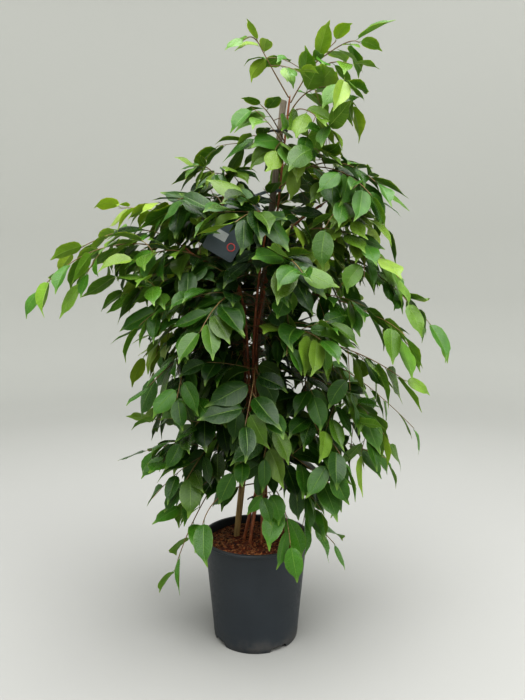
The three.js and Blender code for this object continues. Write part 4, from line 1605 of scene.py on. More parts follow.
# Each row: the spray's name, its stem, the height where it leaves it, its leaves' length and age, then its
# twigs: the top of the arch, the end, the bare share, the leaves and the place where it forks off
SPRAYS: tuple[Spray, ...] = tuple(
    Spray(name, stem, height, size, young, tuple(Shoot(*shoot) for shoot in shoots))
    for name, stem, height, size, young, *shoots in (
        ("top_left", "leader", 1017, 66, 0.38, ((27, 0, 1068), (5, -20, 1100), 0.45, 4),
         ((-2, -26, 1104), (-18, -32, 1100), 0.4, 2, 0.8)),
        ("top_right", "leader", 1008, 84, 0.38, ((102, 6, 1064), (142, -8, 1104), 0.1, 5),
         ((156, -16, 1098), (182, -20, 1100), 0.35, 4, 0.62),
         ((132, -20, 1064), (168, -34, 1056), 0.1, 4, 0.36)),
        ("crown_right", "leader", 984, 98, 0.38, ((98, -16, 1018), (148, -36, 1014), 0.3, 6),
         ((152, -48, 1002), (166, -56, 986), 0.3, 2, 0.8)),
        ("crown_front", "leader", 967, 86, 0.45, ((80, -44, 978), (124, -76, 938), 0.3, 6)),
        ("crown_left", "leader", 938, 82, 0.35, ((32, -20, 966), (12, -40, 984), 0.4, 3)),
        ("crown_low_left", "leader", 878, 88, 0.3, ((22, -26, 920), (-2, -46, 932), 0.4, 4)),
        ("crown_centre", "leader", 900, 98, 0.3, ((50, -36, 922), (36, -74, 904), 0.2, 6)),
        ("crown_back", "leader", 888, 92, 0.3, ((70, 66, 908), (104, 108, 872), 0.3, 6)),
        ("shoulder_right", "leader", 856, 98, 0.15, ((138, -30, 890), (222, -76, 832), 0.3, 8),
         ((150, -78, 862), (190, -118, 820), 0.2, 6, 0.3)),
        ("left_top", "left_high", 842, 68, 0.4, ((-80, 0, 880), (-108, -10, 888), 0.3, 6),
         ((-50, -20, 872), (-36, -40, 872), 0.3, 4, 0.2)),
        ("left_big", "left_high", 795, 100, 0.1, ((-96, -40, 822), (-138, -66, 806), 0.3, 7)),
        ("left_back_high", "left_high", 815, 92, 0.3, ((-84, 66, 846), (-112, 118, 812), 0.3, 6)),
        ("left_arch", "left_high", 752, 88, 0.75, ((-155, 4, 802), (-240, -28, 810), 0.35, 8)),
        ("left_reach", "left_low", 738, 94, 0.45, ((-225, 14, 776), (-342, 20, 736), 0.2, 9)),
        ("left_long", "left_low", 716, 96, 0.2, ((-245, -56, 742), (-372, -78, 664), 0.35, 9)),
        ("left_bright", "left_low", 700, 96, 0.3, ((-130, -78, 730), (-194, -124, 712), 0.25, 7)),
        ("left_mid_back", "left_high", 700, 92, 0.1, ((-140, 44, 714), (-224, 66, 704), 0.3, 5)),
        ("left_mid", "left_low", 666, 94, 0.1, ((-128, -40, 684), (-214, -56, 662), 0.3, 7)),
        ("left_hang", "left_low", 636, 96, 0.15, ((-112, -86, 650), (-190, -120, 606), 0.3, 7)),
        ("left_olive", "left_high", 610, 92, 0.55, ((-130, 26, 604), (-214, 34, 540), 0.3, 8)),
        ("left_lower_front", "left_low", 560, 92, 0.1, ((-100, -70, 560), (-180, -104, 500), 0.3, 8)),
        ("left_lower", "left_high", 520, 88, 0.25, ((-104, 20, 508), (-194, 28, 414), 0.3, 8)),
        ("low_left_hook", "left_low", 470, 88, 0.1, ((-64, -76, 462), (-124, -120, 408), 0.3, 7)),
        ("low_left", "left_high", 404, 90, 0.1, ((-104, -4, 386), (-204, -2, 360), 0.3, 7),
         ((-96, -58, 366), (-126, -96, 322), 0.15, 5, 0.3)),
        ("pot_left", "left_high", 338, 86, 0, ((-72, -16, 318), (-136, -34, 262), 0.3, 6),
         ((-112, -60, 246), (-146, -74, 158), 0.2, 5, 0.45)),
        ("pot_front_left", "front", 300, 112, 0.05, ((-62, -92, 300), (-94, -112, 240), 0.5, 3)),
        ("pot_front_right", "right", 296, 96, 0.1, ((46, -84, 292), (60, -138, 236), 0.4, 4)),
        ("pot_right", "right", 336, 94, 0.1, ((74, -36, 312), (118, -62, 268), 0.3, 5),
         ((92, -6, 252), (148, -14, 184), 0.35, 5, 0.35)),
        ("right_upper", "right", 818, 84, 0.45, ((158, 14, 836), (200, 20, 806), 0.2, 6),
         ((146, -40, 820), (168, -84, 784), 0.2, 5, 0.15)),
        ("right_arch", "right", 760, 90, 0.4, ((150, -70, 764), (240, -112, 684), 0.3, 9)),
        ("right_long", "right", 726, 90, 0.2, ((190, -24, 708), (328, -48, 585), 0.3, 10)),
        ("right_mid", "right", 664, 92, 0.2, ((160, -80, 640), (260, -104, 572), 0.3, 8)),
        ("right_pale", "front", 598, 102, 0.25, ((62, -126, 600), (104, -176, 584), 0.3, 7)),
        ("right_low_long", "right", 590, 100, 0.3, ((146, -96, 566), (250, -126, 512), 0.3, 8)),
        ("right_back_long", "leader", 560, 84, 0.2, ((150, 62, 522), (318, 76, 388), 0.3, 8),
         ((160, 100, 470), (206, 126, 396), 0.1, 5, 0.35)),
        ("right_hang", "right", 520, 98, 0.25, ((142, -56, 490), (234, -84, 398), 0.3, 8),
         ((98, -92, 446), (138, -114, 376), 0.1, 6, 0.3)),
        ("low_right", "right", 430, 92, 0.1, ((130, -8, 392), (242, -24, 352), 0.3, 7)),
        ("low_right_front", "front", 392, 94, 0, ((62, -84, 374), (126, -120, 334), 0.3, 6)),
        ("front_high", "front", 756, 98, 0.25, ((10, -132, 788), (-26, -184, 768), 0.2, 7)),
        ("front_mid", "front", 690, 96, 0.15, ((44, -130, 716), (76, -204, 684), 0.3, 7)),
        ("front_left", "front", 648, 94, 0.1, ((-42, -128, 654), (-82, -196, 600), 0.3, 7)),
        ("front_low", "front", 520, 100, 0.15, ((0, -112, 522), (-14, -180, 450), 0.3, 6),
         ((22, -96, 452), (16, -142, 388), 0.15, 4, 0.3)),
        ("back_high", "back", 770, 92, 0.3, ((0, 162, 796), (-14, 206, 772), 0.2, 5)),
        ("back_right", "back", 722, 92, 0.2, ((86, 132, 736), (160, 172, 684), 0.3, 7)),
        ("back_left", "back", 690, 92, 0.15, ((-90, 114, 706), (-166, 156, 654), 0.3, 6)),
        ("back_mid", "back", 640, 92, 0.1, ((28, 130, 606), (52, 192, 530), 0.3, 6)),
        ("back_low", "back", 520, 90, 0.1, ((-74, 104, 500), (-138, 144, 418), 0.3, 5),
         ((-30, 118, 430), (4, 160, 352), 0.1, 5, 0.3)),
    )
)


class Use(IntEnum):
    """What a leaf's or a shoot's draw is for."""

    LENGTH = 1
    SIDEWAYS = 2
    DOWN = 3
    HANG = 4
    TWIST = 5
    FORWARDS = 6
    WIDTH = 21
    FOLD = 22
    CURL = 23
    WAVE = 24
    PHASE = 25
    ROLL = 26
    SWAY = 27
    HOOK = 28
    DIP = 29
    YOUTH = 31
    TONE = 32
    DULLNESS = 33
    CHANCE = 40
    PLACE = 41
    SHOOT_LEAN = 42
    SHOOT_SLOPE = 43
    SHOOT_LENGTH = 44
    SHOOT_SAG = 45
    SHOOT_LEAVES = 46


@dataclass(frozen=True)
class Bud:
    """Where a leaf may grow: its twig's path, its place and side on it, its seed and its length."""

    path: Path
    share: float
    side: int
    seed: float
    size: float
    last: bool = False


@dataclass(frozen=True)
class LeafPose:
    """Where a leaf sits: its rib bends from its root to its tip, and its blade lies across it."""

    root: Vector
    bend: Vector
    tip: Vector
    across: Vector
    length: float

    def heading(self, share: float) -> Vector:
        """Give the rib's direction at a share of it."""
        return ((self.bend - self.root) * (1 - share) + (self.tip - self.bend) * share).normalized()


@dataclass(frozen=True)
class GrowthRule:
    """The rule that the solids' leaves grew by: each pair is the range that a draw falls in."""

    length: Range = (0.7, 0.96)
    sideways: Range = (0.4, 0.95)
    end_sideways: float = 0.15
    down: Range = (0.35, -0.75)
    hang: Range = (0.1, -1.15)
    twist: Range = (-1.1, 1.1)
    forwards: Range = (0.3, 0.95)
    bend: float = 0.45
    outward: float = 0.6
    end_size: float = 0.8
    tries: int = 12
    twig_step: float = 0.072
    root_reach: float = 0.0012
    near_enough: float = 0.002
    seed_step: int = 1000

    def twig(self, root: Vector, shoot: Shoot, finer: int = 1) -> list[Vector]:
        """Give a twig's path.

        Args:
            root: where it starts.
            shoot: the twig.
            finer: how many times its solid's steps it has.

        Returns:
            The path's points.
        """
        over, to = at(shoot.over), at(shoot.to)
        reach = (root - over).length + (over - to).length
        steps = max(3, math.ceil(reach / self.twig_step))
        return parabola(root, over * 2 - (root + to) / 2, to, steps * finer)

    def pose(self, bud: Bud, attempt: int) -> LeafPose:
        """Pose a leaf.

        Args:
            bud: where it grows.
            attempt: which of its poses it takes.

        Returns:
            The pose.
        """
        change = bud.seed + attempt * self.seed_step
        root, along = on_path(bud.path, bud.share)
        beside = along.cross(UP).normalized() * bud.side
        length = bud.size * draw_in(self.length, bud.seed, Use.LENGTH)
        sideways = self.end_sideways if bud.last else draw_in(self.sideways, change, Use.SIDEWAYS)
        heading = along * draw_in(self.forwards, change, Use.FORWARDS) + beside * sideways
        heading = (heading + UP * draw_in(self.down, change, Use.DOWN)).normalized()
        hanging = (heading + UP * draw_in(self.hang, change, Use.HANG)).normalized()
        bend = root + heading * (length * self.bend)
        tip = bend + hanging * (length * (1 - self.bend))
        outward = Vector((root.x, root.y, 0)).normalized()
        face = UP + outward * self.outward + beside * draw_in(self.twist, change, Use.TWIST)
        return LeafPose(root, bend, tip, face.cross(tip - root).normalized(), length)

    def found_pose(self, tips: KDTree, bud: Bud) -> LeafPose | None:
        """Find the pose that a leaf of the solids took, by its tip.

        Args:
            tips: the spray's solid, as a tree of its corners.
            bud: where the leaf grows.

        Returns:
            The pose, or nothing where the leaf was left out.
        """
        poses = [self.pose(bud, attempt) for attempt in range(self.tries + 1)]
        best = min(poses, key=lambda pose: tips.find(pose.tip)[2])
        return best if tips.find(best.tip)[2] < self.near_enough else None


class BladeShape:
    """The form of one leaf's blade, apart from its pose."""

    def __init__(self, seed: float, fold_share: float = 1.0) -> None:
        """Draw the form by the leaf's own seed, with a share of its fold."""
        self.width = draw_in((0.208, 0.248), seed, Use.WIDTH)
        self.fold = math.radians(draw_in((3, 32), seed, Use.FOLD)) * fold_share
        self.curl = draw_in((0.04, 0.26), seed, Use.CURL)
        self.wave = draw_in((0.04, 0.18), seed, Use.WAVE)
        self.phase = draw_in((0, 6.28), seed, Use.PHASE)
        self.roll = draw_in((-0.5, 0.5), seed, Use.ROLL) * fold_share
        self.sway = draw_in((-0.4, 0.4), seed, Use.SWAY)
        self.hook = draw_in((-0.06, 0.06), seed, Use.HOOK)
        self.dip = draw_in((0.0, 0.07), seed, Use.DIP)


class Shape:
    """A closed shape in the crown, with the box that holds it."""

    def __init__(self, places: Path, faces: Sequence[Sequence[int]]) -> None:
        """Keep the shape's corners and faces."""
        self.places = places
        self.faces = faces
        self.low = Vector(min(spot[axis] for spot in places) for axis in range(3))
        self.high = Vector(max(spot[axis] for spot in places) for axis in range(3))

    @staticmethod
    def of_mesh(bm: Mesh) -> "Shape":
        """Make the shape of a mesh in the making, which is freed.

        Args:
            bm: the mesh.

        Returns:
            The shape.
        """
        bm.verts.index_update()
        made = Shape([vert.co.copy() for vert in bm.verts], [[v.index for v in f.verts] for f in bm.faces])
        bm.free()
        return made

    @cached_property
    def tree(self) -> BVHTree:
        """Give the shape's faces as a tree."""
        return BVHTree.FromPolygons(self.places, self.faces)

    def crosses(self, other: "Shape") -> bool:
        """Tell whether the shape crosses another."""
        apart = any(self.low[a] > other.high[a] or self.high[a] < other.low[a] for a in range(3))
        return not apart and bool(self.tree.overlap(other.tree))


class LeafSlot(Enum):
    """Material slots of a spray."""

    UPPER = 0
    UNDER = 1
    TWIG = 2


class LeafCast:
    """One leaf in a plain form, whose copies are laid along the ribs of all the leaves."""

    ROWS = (0.0, 0.13, 0.175, 0.29, 0.45, 0.62, 0.755, 0.86, 1.0)
    OUTLINE = (0.0, 0.0, 0.43, 0.81, 1.0, 0.96, 0.71, 0.24, 0.014)
    TAIL_FROM = 0.76
    STALK = 0.00062
    THICKNESS = 0.00022
    COLUMNS = 4
    WAVES = 8.5
    OTHER_PHASE = 2.3
    STALK_FLATNESS = 0.8
    SWAY_FROM = 0.5
    BLADE_FROM = 1

    def __init__(self) -> None:
        """Make the leaf from a grid: its top, a mirrored underside, and one shared edge."""
        rows = len(self.ROWS) - 1
        bm = leafy_mesh()
        layer = bm.loops.layers.uv[LEAF_UV]
        bmesh.ops.create_grid(bm, x_segments=self.COLUMNS, y_segments=rows, size=0.5)
        for vert in bm.verts:
            edge = vert.is_boundary
            vert.co = Vector((vert.co.x * 2, round((vert.co.y + 0.5) * rows), 0 if edge else 1))
        copied = bmesh.ops.duplicate(bm, geom=[*bm.verts, *bm.edges, *bm.faces])["geom"]
        under = [part for part in copied if isinstance(part, Face)]
        bmesh.ops.reverse_faces(bm, faces=under)
        for part in copied:
            if isinstance(part, Corner):
                part.co.z = -part.co.z
        for face in bm.faces:
            face.smooth = True
            for loop in face.loops:
                u, row, _ = loop.vert.co
                loop[layer].uv = ((u + 1) / 2, self.ROWS[round(row)])
        for face in under:
            face.material_index = LeafSlot.UNDER.value
        bmesh.ops.remove_doubles(bm, verts=bm.verts, dist=1e-4)
        for edge in bm.edges:
            borders = {face.material_index for face in edge.link_faces}
            rib = all(abs(vert.co.x) < 0.01 for vert in edge.verts)
            blade = min(vert.co.y for vert in edge.verts) >= self.BLADE_FROM
            edge.smooth = not (blade and (len(borders) > 1 or rib))
        self.mesh = bpy.data.meshes.new("leaf_cast")
        bm.to_mesh(self.mesh)
        bm.free()
        self.spots = [vert.co.copy() for vert in self.mesh.vertices]
        corners = [tuple(face.vertices) for face in self.mesh.polygons]
        self.blade = [face for face in corners if all(self.spots[i].y >= self.BLADE_FROM for i in face)]

    def lay(self, pose: LeafPose, form: BladeShape) -> Shape:
        """Lay the leaf along a rib.

        Args:
            pose: the leaf's pose.
            form: its blade's form.

        Returns:
            The leaf's corners and its blade's faces.
        """
        rows = []
        for share in self.ROWS:
            heading = pose.heading(share)
            across = (pose.across - heading * pose.across.dot(heading)).normalized()
            turn = Matrix.Rotation(form.roll * (share - 0.5), 3, heading)
            centre = bent(pose.root, pose.bend, pose.tip, share)
            rows.append((centre, turn @ -across, turn @ heading.cross(across)))
        half = pose.length * form.width
        spread, lift = math.cos(form.fold), math.sin(form.fold)
        places = []
        for u, row, level in self.spots:
            index = round(row)
            share = self.ROWS[index]
            centre, x, up = rows[index]
            width = self.STALK + half * self.OUTLINE[index]
            out = abs(u)
            swing = math.sin(share * self.WAVES + form.phase * (1 if u > 0 else self.OTHER_PHASE))
            rise = width * (out * lift - form.curl * out * out) * (index > self.BLADE_FROM)
            rise += form.wave * half * out * out * swing * self.OUTLINE[index]
            stalk = self.STALK * self.STALK_FLATNESS
            rise += level * (self.THICKNESS if index > self.BLADE_FROM else stalk)
            tail = (max(0.0, share - self.TAIL_FROM) / (1 - self.TAIL_FROM)) ** 2
            sway = form.sway * max(0.0, share - self.SWAY_FROM) ** 2 + form.hook * tail
            aside = u * width * spread + sway * pose.length
            places.append(centre + x * aside + up * (rise - form.dip * tail * pose.length))
        return Shape(places, self.blade)


def leafy_mesh() -> Mesh:
    """Start a mesh with the layers that the leaves use."""
    bm = bmesh.new()
    bm.loops.layers.uv.new(LEAF_UV)
    bm.verts.layers.float_color.new(LEAF_SHADE_AND_MARKS)
    return bm


@dataclass
class Foliage:
    """All the leafy sprays: each keeps its solid's twigs and leaves, and has more fine ones inside."""

    sprays: tuple[Spray, ...]
    stems: dict[str, Stem]
    rule: GrowthRule = field(default_factory=GrowthRule)
    finer: int = 5
    root_radius: float = 0.0013
    tip_radius: float = 0.0007
    bud: float = 0.007
    bud_waist: float = 0.35
    bud_swelling: float = 1.15
    bud_end: float = 0.0001
    fork_taper: float = 0.6
    joint_swelling: float = 1.18
    joint_from: float = 0.82
    seeds_each: int = 64
    folds: tuple[float, ...] = (1.0, 0.5, 0.1)
    youth_base: float = 0.3
    youth_gain: float = 0.85
    youth_spread: float = 0.4
    youth_from: Range = (0.22, 0.5)
    # A leaf's tone: a random spread, then painted light that rises towards the crown's rim, top and bottom,
    # less at front and back, and painted shade that darkens its core.
    tone_spread: float = 0.55
    rim_light_gain: float = 0.9
    core_shade_drop: float = 0.42
    rim: float = 0.25
    rim_depth: float = 0.6
    high: Range = (0.76, 0.22)
    low: Range = (0.42, 0.15)
    shrink: float = 0.03
    between_seed: int = 7000
    inside_seeds: Range = (20000, 400)
    shoot_seeds: int = 8
    shoot_lean: Range = (0.1, 0.9)
    shoot_slope: Range = (-0.9, 0.6)
    shoot_sag: Range = (0.05, 0.4)
    shoot_leaves: int = 3
    shoot_seed: int = 20
    retry_seeds: int = 500
    shoot_places: Range = (0.06, 0.86)
    shoot_bend: float = 0.55
    shoot_bud: float = 0.7
    shoot_taper: Range = (1.1, 0.8)
    first_leaf: float = 0.2
    between_from: float = 0.75
    between_to: float = 0.96
    shoot_room: float = 0.0009
    shoot_steps: int = 5
    extra_tries: int = 9
    extra_size: float = 0.9
    side_spacing: float = 0.038
    back_spacing: float = 0.019
    side_length: Range = (0.045, 0.1)
    side_turn: float = 2.4
    side_tries: int = 5
    crown_room: float = 0.034
    bare_below: float = 0.27
    thin_above: float = 1.0
    thin_beyond: float = 0.3
    thinning: float = 0.14
    airy: float = 0.15
    inside: Range = (0.29, 0.95)
    inside_spacing: float = 0.01
    inside_size: float = 90
    glimpse_across: Range = (-0.027, 0.022)
    glimpse_up: Range = (0.45, 0.7)
    core_radius: float = 0.13
    core_up: Range = (0.32, 0.84)
    core_room: float = 0.055

    def __post_init__(self) -> None:
        """Make the leaf's cast and an empty crown, and note where the sprays' solids reach."""
        self.cast = LeafCast()
        self.crowd: list[Shape] = []
        self.counts = {"kept": 0, "left out": 0, "between": 0, "on side shoots": 0}
        solids = [frame["nodes"]["spray_" + spray.name].data.vertices for spray in self.sprays]
        self.solids = [tree_of([corner.co for corner in corners]) for corners in solids]
        self.crown = tree_of([corner.co for corners in solids for corner in corners])

    def fullness(self, spot: Vector) -> float:
        """Give how full the crown is at a place: full inside, airy at its rim, bare near the pot."""
        low = (spot.z - self.bare_below) / self.thinning
        high = (self.thin_above - spot.z) / self.thinning
        out = (self.thin_beyond - math.hypot(spot.x, spot.y)) / self.thinning
        return clamp(low) * min(max(min(high, out), self.airy), 1.0)

    def allows(self, *spots: Vector) -> bool:
        """Tell whether a leaf or a shoot may reach some places, with its tip first.

        Args:
            spots: the places.

        Returns:
            True where its tip is near the solids, with more room in the crown's core, and no place
            is in the gap that the stems show through.
        """
        tip = spots[0]
        across, up = self.glimpse_across, self.glimpse_up
        covered = any(s.y < 0 and across[0] < s.x < across[1] and up[0] < s.z < up[1] for s in spots)
        inner = math.hypot(tip.x, tip.y) < self.core_radius and self.core_up[0] < tip.z < self.core_up[1]
        room = self.core_room if inner else self.crown_room
        return not covered and self.crown.find(tip)[2] <= room

    def has_room(self, made: Shape) -> bool:
        """Tell whether a shape crosses nothing that stands in the crown."""
        return not any(made.crosses(other) for other in self.crowd)

    def twigs(self, spray: Spray, finer: int) -> list[list[Vector]]:
        """Give the paths of a spray's twigs.

        Args:
            spray: the spray.
            finer: how many times their solids' steps they have.

        Returns:
            The path of the main twig, then those of its side shoots.
        """
        centre, along, radius = self.stems[spray.stem].spot(spray.height * MM)
        _, out = on_path(self.rule.twig(centre, spray.shoots[0]), 0)
        out = (out - along * out.dot(along)).normalized()
        root = centre + out * (radius + self.rule.root_reach)
        coarse = self.rule.twig(root, spray.shoots[0])
        paths = [self.rule.twig(root, spray.shoots[0], finer)]
        for shoot in spray.shoots[1:]:
            fork, _ = on_path(coarse, shoot.start)
            paths.append(self.rule.twig(fork, shoot, finer))
        return paths

    def twig_body(self, spray: Spray) -> Mesh:
        """Sweep a spray's twigs, each with a slim bud at its end.

        Args:
            spray: the spray.

        Returns:
            The twigs' mesh.
        """
        bm = leafy_mesh()
        fine = self.twigs(spray, self.finer)
        for shoot, path in zip(spray.shoots, fine):
            if shoot is spray.shoots[0]:
                path = [self.stems[spray.stem].spot(spray.height * MM)[0], *path]
            else:
                path = [on_path(fine[0], shoot.start)[0], *path[1:]]
            bud = (path[-1] - path[-2]).normalized() * self.bud
            path = [*path, path[-1] + bud * self.bud_waist, path[-1] + bud]
            last = len(path) - 1
            start = lerp(self.root_radius, self.tip_radius, shoot.start * self.fork_taper)

            def radius_at(share: float) -> float:
                """Give the twig's radius, with a swelling at each leaf and a pointed bud."""
                if share * last > last - 2:
                    swollen = self.tip_radius * self.bud_swelling
                    return lerp(swollen, self.bud_end, (share * last - last + 2) / 2)
                on_twig = share * last / (last - 2)
                joint = abs(((on_twig - shoot.bare) / (1 - shoot.bare) * shoot.leaves) % 1 - 0.5) * 2
                swelling = self.joint_swelling if joint > self.joint_from else 1.0
                return lerp(start, self.tip_radius, on_twig) * swelling

            sweep(bm, path, radius_at, UP, 6, material=LeafSlot.TWIG.value)
        return bm

    def add_leaf(self, bm: Mesh, made: Shape, spray: Spray, bud: Bud, root: Vector) -> None:
        """Add a laid leaf to its spray, with painted shade that darkens it inside the crown and painted
        light at its rim.

        Args:
            bm: the spray's mesh.
            made: the leaf.
            spray: the spray.
            bud: where the leaf grows.
            root: its stalk's end.
        """
        youth = spray.young * (self.youth_base + self.youth_gain * bud.share)
        youth += self.youth_spread * (draw(bud.seed, Use.YOUTH) - 0.5)
        youth = clamp((youth - self.youth_from[0]) / self.youth_from[1])
        # Painted light and shade: the tone rises with the leaf's distance from the middle, front and back
        # counting for less, its height over the top band and its depth under the low band.
        out = math.hypot(root.x, self.rim_depth * root.y) / self.rim
        above = (root.z - self.high[0]) / self.high[1]
        below = (self.low[0] - root.z) / self.low[1]
        painted_rim_light = self.rim_light_gain * max(out, above, below)
        tone = clamp(self.tone_spread * draw(bud.seed, Use.TONE) + painted_rim_light - self.core_shade_drop)
        bm.from_mesh(self.cast.mesh)
        layer = bm.verts.layers.float_color[LEAF_SHADE_AND_MARKS]
        bm.verts.ensure_lookup_table()
        for vert, spot in zip(bm.verts[-len(made.places) :], made.places):
            vert.co = spot
            vert[layer] = (tone, youth, draw(bud.seed, Use.DULLNESS), 1.0)
        self.crowd.append(made)

    def grow(self, spray: Spray, index: int) -> Mesh:
        """Grow a spray's twigs and the leaves of its solid, each as folded as there is room for.

        Args:
            spray: the spray.
            index: its place in the list.

        Returns:
            The spray's mesh.
        """
        bm = self.twig_body(spray)
        seed = (index + 1) * self.seeds_each
        paths = zip(spray.shoots, self.twigs(spray, 1), self.twigs(spray, self.finer))
        for shoot, coarse, fine in paths:
            for number in range(shoot.leaves):
                last = number == shoot.leaves - 1
                share = lerp(shoot.bare, 1, (number + 1) / shoot.leaves)
                size = spray.size * MM * (self.rule.end_size if last else 1)
                bud = Bud(coarse, share, -1 if number % 2 else 1, seed, size, last)
                pose = self.rule.found_pose(self.solids[index], bud)
                self.counts["kept" if pose else "left out"] += 1
                if pose:
                    pose = replace(pose, root=on_path(fine, share)[0])
                    for fold_share in self.folds:
                        made = self.cast.lay(pose, BladeShape(seed, fold_share))
                        if self.has_room(made):
                            break
                    self.add_leaf(bm, made, spray, bud, pose.root)
                seed += 1
        return bm

    def add_where_clear(self, bm: Mesh, spray: Spray, bud: Bud) -> bool:
        """Add a leaf in the first pose that crosses nothing and stays inside the crown.

        Args:
            bm: the spray's mesh.
            spray: the spray.
            bud: where the leaf grows.

        Returns:
            Whether there was room for it.
        """
        for attempt in range(self.extra_tries):
            size = spray.size * MM * self.extra_size * (1 - self.shrink * attempt)
            pose = self.rule.pose(replace(bud, size=size), attempt)
            if not self.allows(pose.tip, pose.bend):
                continue
            made = self.cast.lay(pose, BladeShape(bud.seed + attempt))
            if self.has_room(made):
                self.add_leaf(bm, made, spray, bud, pose.root)
                return True
        return False

    def fill(self, bm: Mesh, spray: Spray, index: int) -> None:
        """Grow more leaves and side shoots between the leaves of a solid, where there is room.

        Args:
            bm: the spray's mesh.
            spray: the spray.
            index: its place in the list.
        """
        seed = self.between_seed + (index + 1) * self.seeds_each
        spacing = self.back_spacing if spray.stem == "back" else self.side_spacing
        for shoot, path in zip(spray.shoots, self.twigs(spray, self.finer)):
            count = shoot.leaves + 1
            for number in range(count):
                share = lerp(shoot.bare * self.between_from, self.between_to, (number + 0.5) / count)
                seed += 1
                if draw(seed, Use.CHANCE) < self.fullness(on_path(path, share)[0]):
                    bud = Bud(path, share, 1 if number % 2 else -1, seed, 0)
                    self.counts["between"] += self.add_where_clear(bm, spray, bud)
            self.add_side_shoots(bm, spray, path, seed + self.shoot_seed, spacing)

    def add_side_shoots(self, bm: Mesh, spray: Spray, path: Path, seed: float, spacing: float) -> None:
        """Add short leafy side shoots round a twig or a stem, where they stay inside the crown.

        Args:
            bm: the spray's mesh.
            spray: the spray.
            path: the path that they grow from.
            seed: the first seed.
            spacing: how far apart they are.
        """
        reach = sum((high - low).length for low, high in zip(path, path[1:]))
        count = round(reach / spacing)
        for number in range(count):
            seed += self.shoot_seeds
            share = lerp(*self.shoot_places, (number + draw(seed, Use.PLACE)) / count)
            root, along = on_path(path, share)
            if draw(seed, Use.CHANCE) > self.fullness(root):
                continue
            for attempt in range(self.side_tries):
                change = seed + attempt * self.retry_seeds
                turn = Matrix.Rotation(self.side_turn * (number + attempt), 3, along)
                out = turn @ along.orthogonal().normalized()
                heading = along * draw_in(self.shoot_lean, change, Use.SHOOT_LEAN) + out
                heading = (heading + UP * draw_in(self.shoot_slope, change, Use.SHOOT_SLOPE)).normalized()
                length = draw_in(self.side_length, change, Use.SHOOT_LENGTH)
                end = root + heading * length - UP * length * draw_in(self.shoot_sag, change, Use.SHOOT_SAG)
                shoot = parabola(root, root + heading * length * self.shoot_bend, end, self.shoot_steps)
                if not self.allows(end):
                    continue
                tube = bmesh.new()
                sweep(tube, shoot[1:], lambda share: self.shoot_room, UP, 4)
                made = Shape.of_mesh(tube)
                if self.has_room(made):
                    self.crowd.append(made)
                    self.add_side_shoot(bm, spray, shoot, seed)
                    break

    def add_side_shoot(self, bm: Mesh, spray: Spray, shoot: Path, seed: float) -> None:
        """Add one side shoot and its leaves.

        Args:
            bm: the spray's mesh.
            spray: the spray.
            shoot: the shoot's path.
            seed: its first leaf's seed.
        """
        tip = shoot[-1] + (shoot[-1] - shoot[-2]).normalized() * self.bud * self.shoot_bud

        def radius_at(share: float) -> float:
            """Give the shoot's radius, down to its pointed bud."""
            return self.bud_end if share == 1 else self.tip_radius * lerp(*self.shoot_taper, share)

        sweep(bm, [*shoot, tip], radius_at, UP, 5, material=LeafSlot.TWIG.value)
        leaves = self.shoot_leaves + round(draw(seed, Use.SHOOT_LEAVES) * 2)
        for number in range(leaves):
            share = lerp(self.first_leaf, 1, (number + 1) / leaves)
            bud = Bud(shoot, share, 1 if number % 2 else -1, seed + number + 0.5, 0, number == leaves - 1)
            self.counts["on side shoots"] += self.add_where_clear(bm, spray, bud)

    def build(self, palette: Palette, standing: Iterable[Object]) -> None:
        """Make all the sprays, and the leafy shoots that fill the crown close to the stems.

        Args:
            palette: the plant's materials.
            standing: the finished pieces that the leaves keep clear of.
        """
        for piece in standing:
            body = bmesh.new()
            body.from_mesh(piece.data)
            self.crowd.append(Shape.of_mesh(body))
        self.crowd += [Shape.of_mesh(self.twig_body(spray)) for spray in self.sprays]
        grown = [self.grow(spray, index) for index, spray in enumerate(self.sprays)]
        for index, (spray, bm) in enumerate(zip(self.sprays, grown)):
            self.fill(bm, spray, index)
        materials = [palette.upper, palette.under, palette.twig]
        for number, (name, stem) in enumerate(self.stems.items()):
            bm = leafy_mesh()
            path = [spot for spot in stem.path() if self.inside[0] < spot.z < self.inside[1]]
            spray = Spray(name, name, 0, self.inside_size, 0.0, ())
            seed = self.inside_seeds[0] + number * self.inside_seeds[1]
            self.add_side_shoots(bm, spray, path, seed, self.inside_spacing)
            finish_piece("leaves_inside_" + name, bm, materials, "leaves")
        LOG.info("leaves: %s", self.counts)
        slots = {entry["node"]: entry["material_slot"] for entry in frame["record"]["subparts"]}
        for spray, bm in zip(self.sprays, grown):
            node = "spray_" + spray.name
            finish_piece("leaves_" + spray.name, bm, materials, slots[node], node)
        bpy.data.meshes.remove(self.cast.mesh)


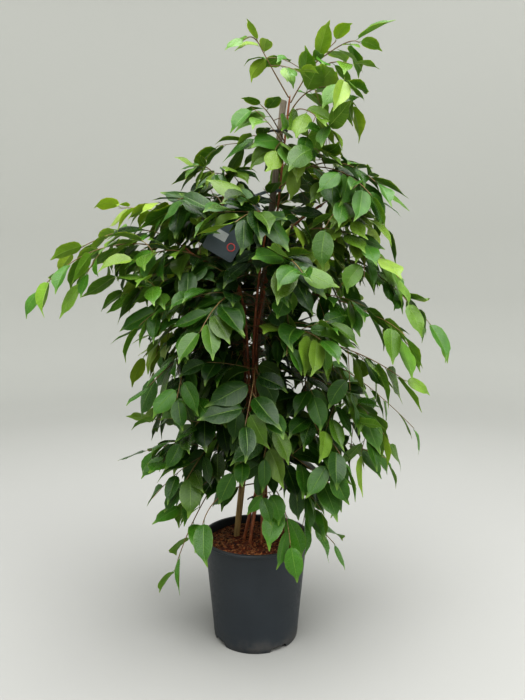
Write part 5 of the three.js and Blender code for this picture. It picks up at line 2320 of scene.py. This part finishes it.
@dataclass
class Studio:
    """Plain pale floor that curves up all round, soft light and the camera."""

    profile: tuple[Range, ...] = (
        (0.0, 0.0), (2.3, 0.0), (2.7, 0.03), (3.0, 0.14), (3.2, 0.34), (3.32, 0.64), (3.38, 1.1),
        (3.4, 2.0), (3.4, 3.3),
    )
    floor_tone: Colour = colour(154, 154, 151)
    wall_tone: Colour = colour(154, 155, 150)
    wall_from: Range = (0.9, 3.5)
    camera_spot: Place = (0.013, -1.124, 0.650)
    pitch: float = 5.0
    lens: float = 30.857
    sensor: float = 36.0
    lights: tuple[tuple[str, Place, float, float], ...] = (
        ("overhead", (0.3, -0.9, 4.0), 4.6, 390), ("front_left", (-1.9, -1.8, 2.1), 1.4, 17),
        ("front_right", (2.1, -1.7, 1.6), 1.4, 20),
    )
    aim: Place = (0, 0, 0.55)
    sky: Colour = (0.86, 0.9, 0.95, 1)
    sky_strength: float = 0.14

    def build(self) -> None:
        """Make the floor, the lights, the world and the camera."""
        self.sweep_floor()
        for light in self.lights:
            self.add_light(*light)
        self.add_camera()
        world = bpy.data.worlds.new("studio")
        world.use_nodes = True
        shade = world.node_tree.nodes["Background"].inputs
        shade["Color"].default_value = self.sky
        shade["Strength"].default_value = self.sky_strength
        scene = bpy.context.scene
        scene.world = world
        scene.view_settings.view_transform = "Standard"
        scene.view_settings.look = "Medium High Contrast"

    def sweep_floor(self) -> None:
        """Turn the floor and the backdrop in one piece."""
        bm = turned(self.profile, 96)
        if next(iter(bm.faces)).normal.z < 0:
            bmesh.ops.reverse_faces(bm, faces=bm.faces)
        for face in bm.faces:
            face.smooth = True
        made = Surface("studio_paper")
        away = made.add("VectorMath", {0: made.where}, operation="LENGTH")["Value"]
        tone = made.blend(made.span(away, *self.wall_from), self.floor_tone, self.wall_tone)
        tone = made.tint(made.mottle(3.0)["Both"], 0.04, tone, self.floor_tone)
        solid("studio_floor", bm, made.dress(tone, 0.85))

    def add_light(self, name: str, spot: Place, size: float, power: float) -> None:
        """Add a soft square light that faces the plant.

        Args:
            name: its name.
            spot: where it hangs.
            size: the length of its sides.
            power: its power in watts.
        """
        light = bpy.data.lights.new(name, "AREA")
        light.size = size
        light.energy = power
        holder = placed(name, light)
        holder.location = spot
        facing = Vector(self.aim) - holder.location
        holder.rotation_euler = facing.to_track_quat("-Z", "Y").to_euler()
        holder.visible_camera = False

    def add_camera(self) -> None:
        """Set up the camera at the photograph's place."""
        camera = bpy.data.cameras.new("camera")
        camera.lens = self.lens
        camera.sensor_width = self.sensor
        holder = placed("camera", camera)
        holder.location = self.camera_spot
        holder.rotation_euler = (math.radians(90 - self.pitch), 0, 0)
        bpy.context.scene.camera = holder


def main() -> None:
    """Build the plant piece by piece."""
    logging.basicConfig(level=logging.INFO, format="%(name)s: %(message)s")
    palette = Palette()
    Studio().build()
    pot = Pot()
    cane = Cane()
    stems = {name: Stem(name, stops) for name, stops in STEMS.items()}
    standing = [pot.build(palette), *Soil(pot).build(palette), cane.build(palette)]
    standing += [stem.build(palette) for stem in stems.values()]
    standing += [*tie_up(palette, stems, cane), Tag().build(palette, cane, stems["leader"])]
    Foliage(SPRAYS, stems).build(palette, standing)


if __name__ == "__main__":
    main()
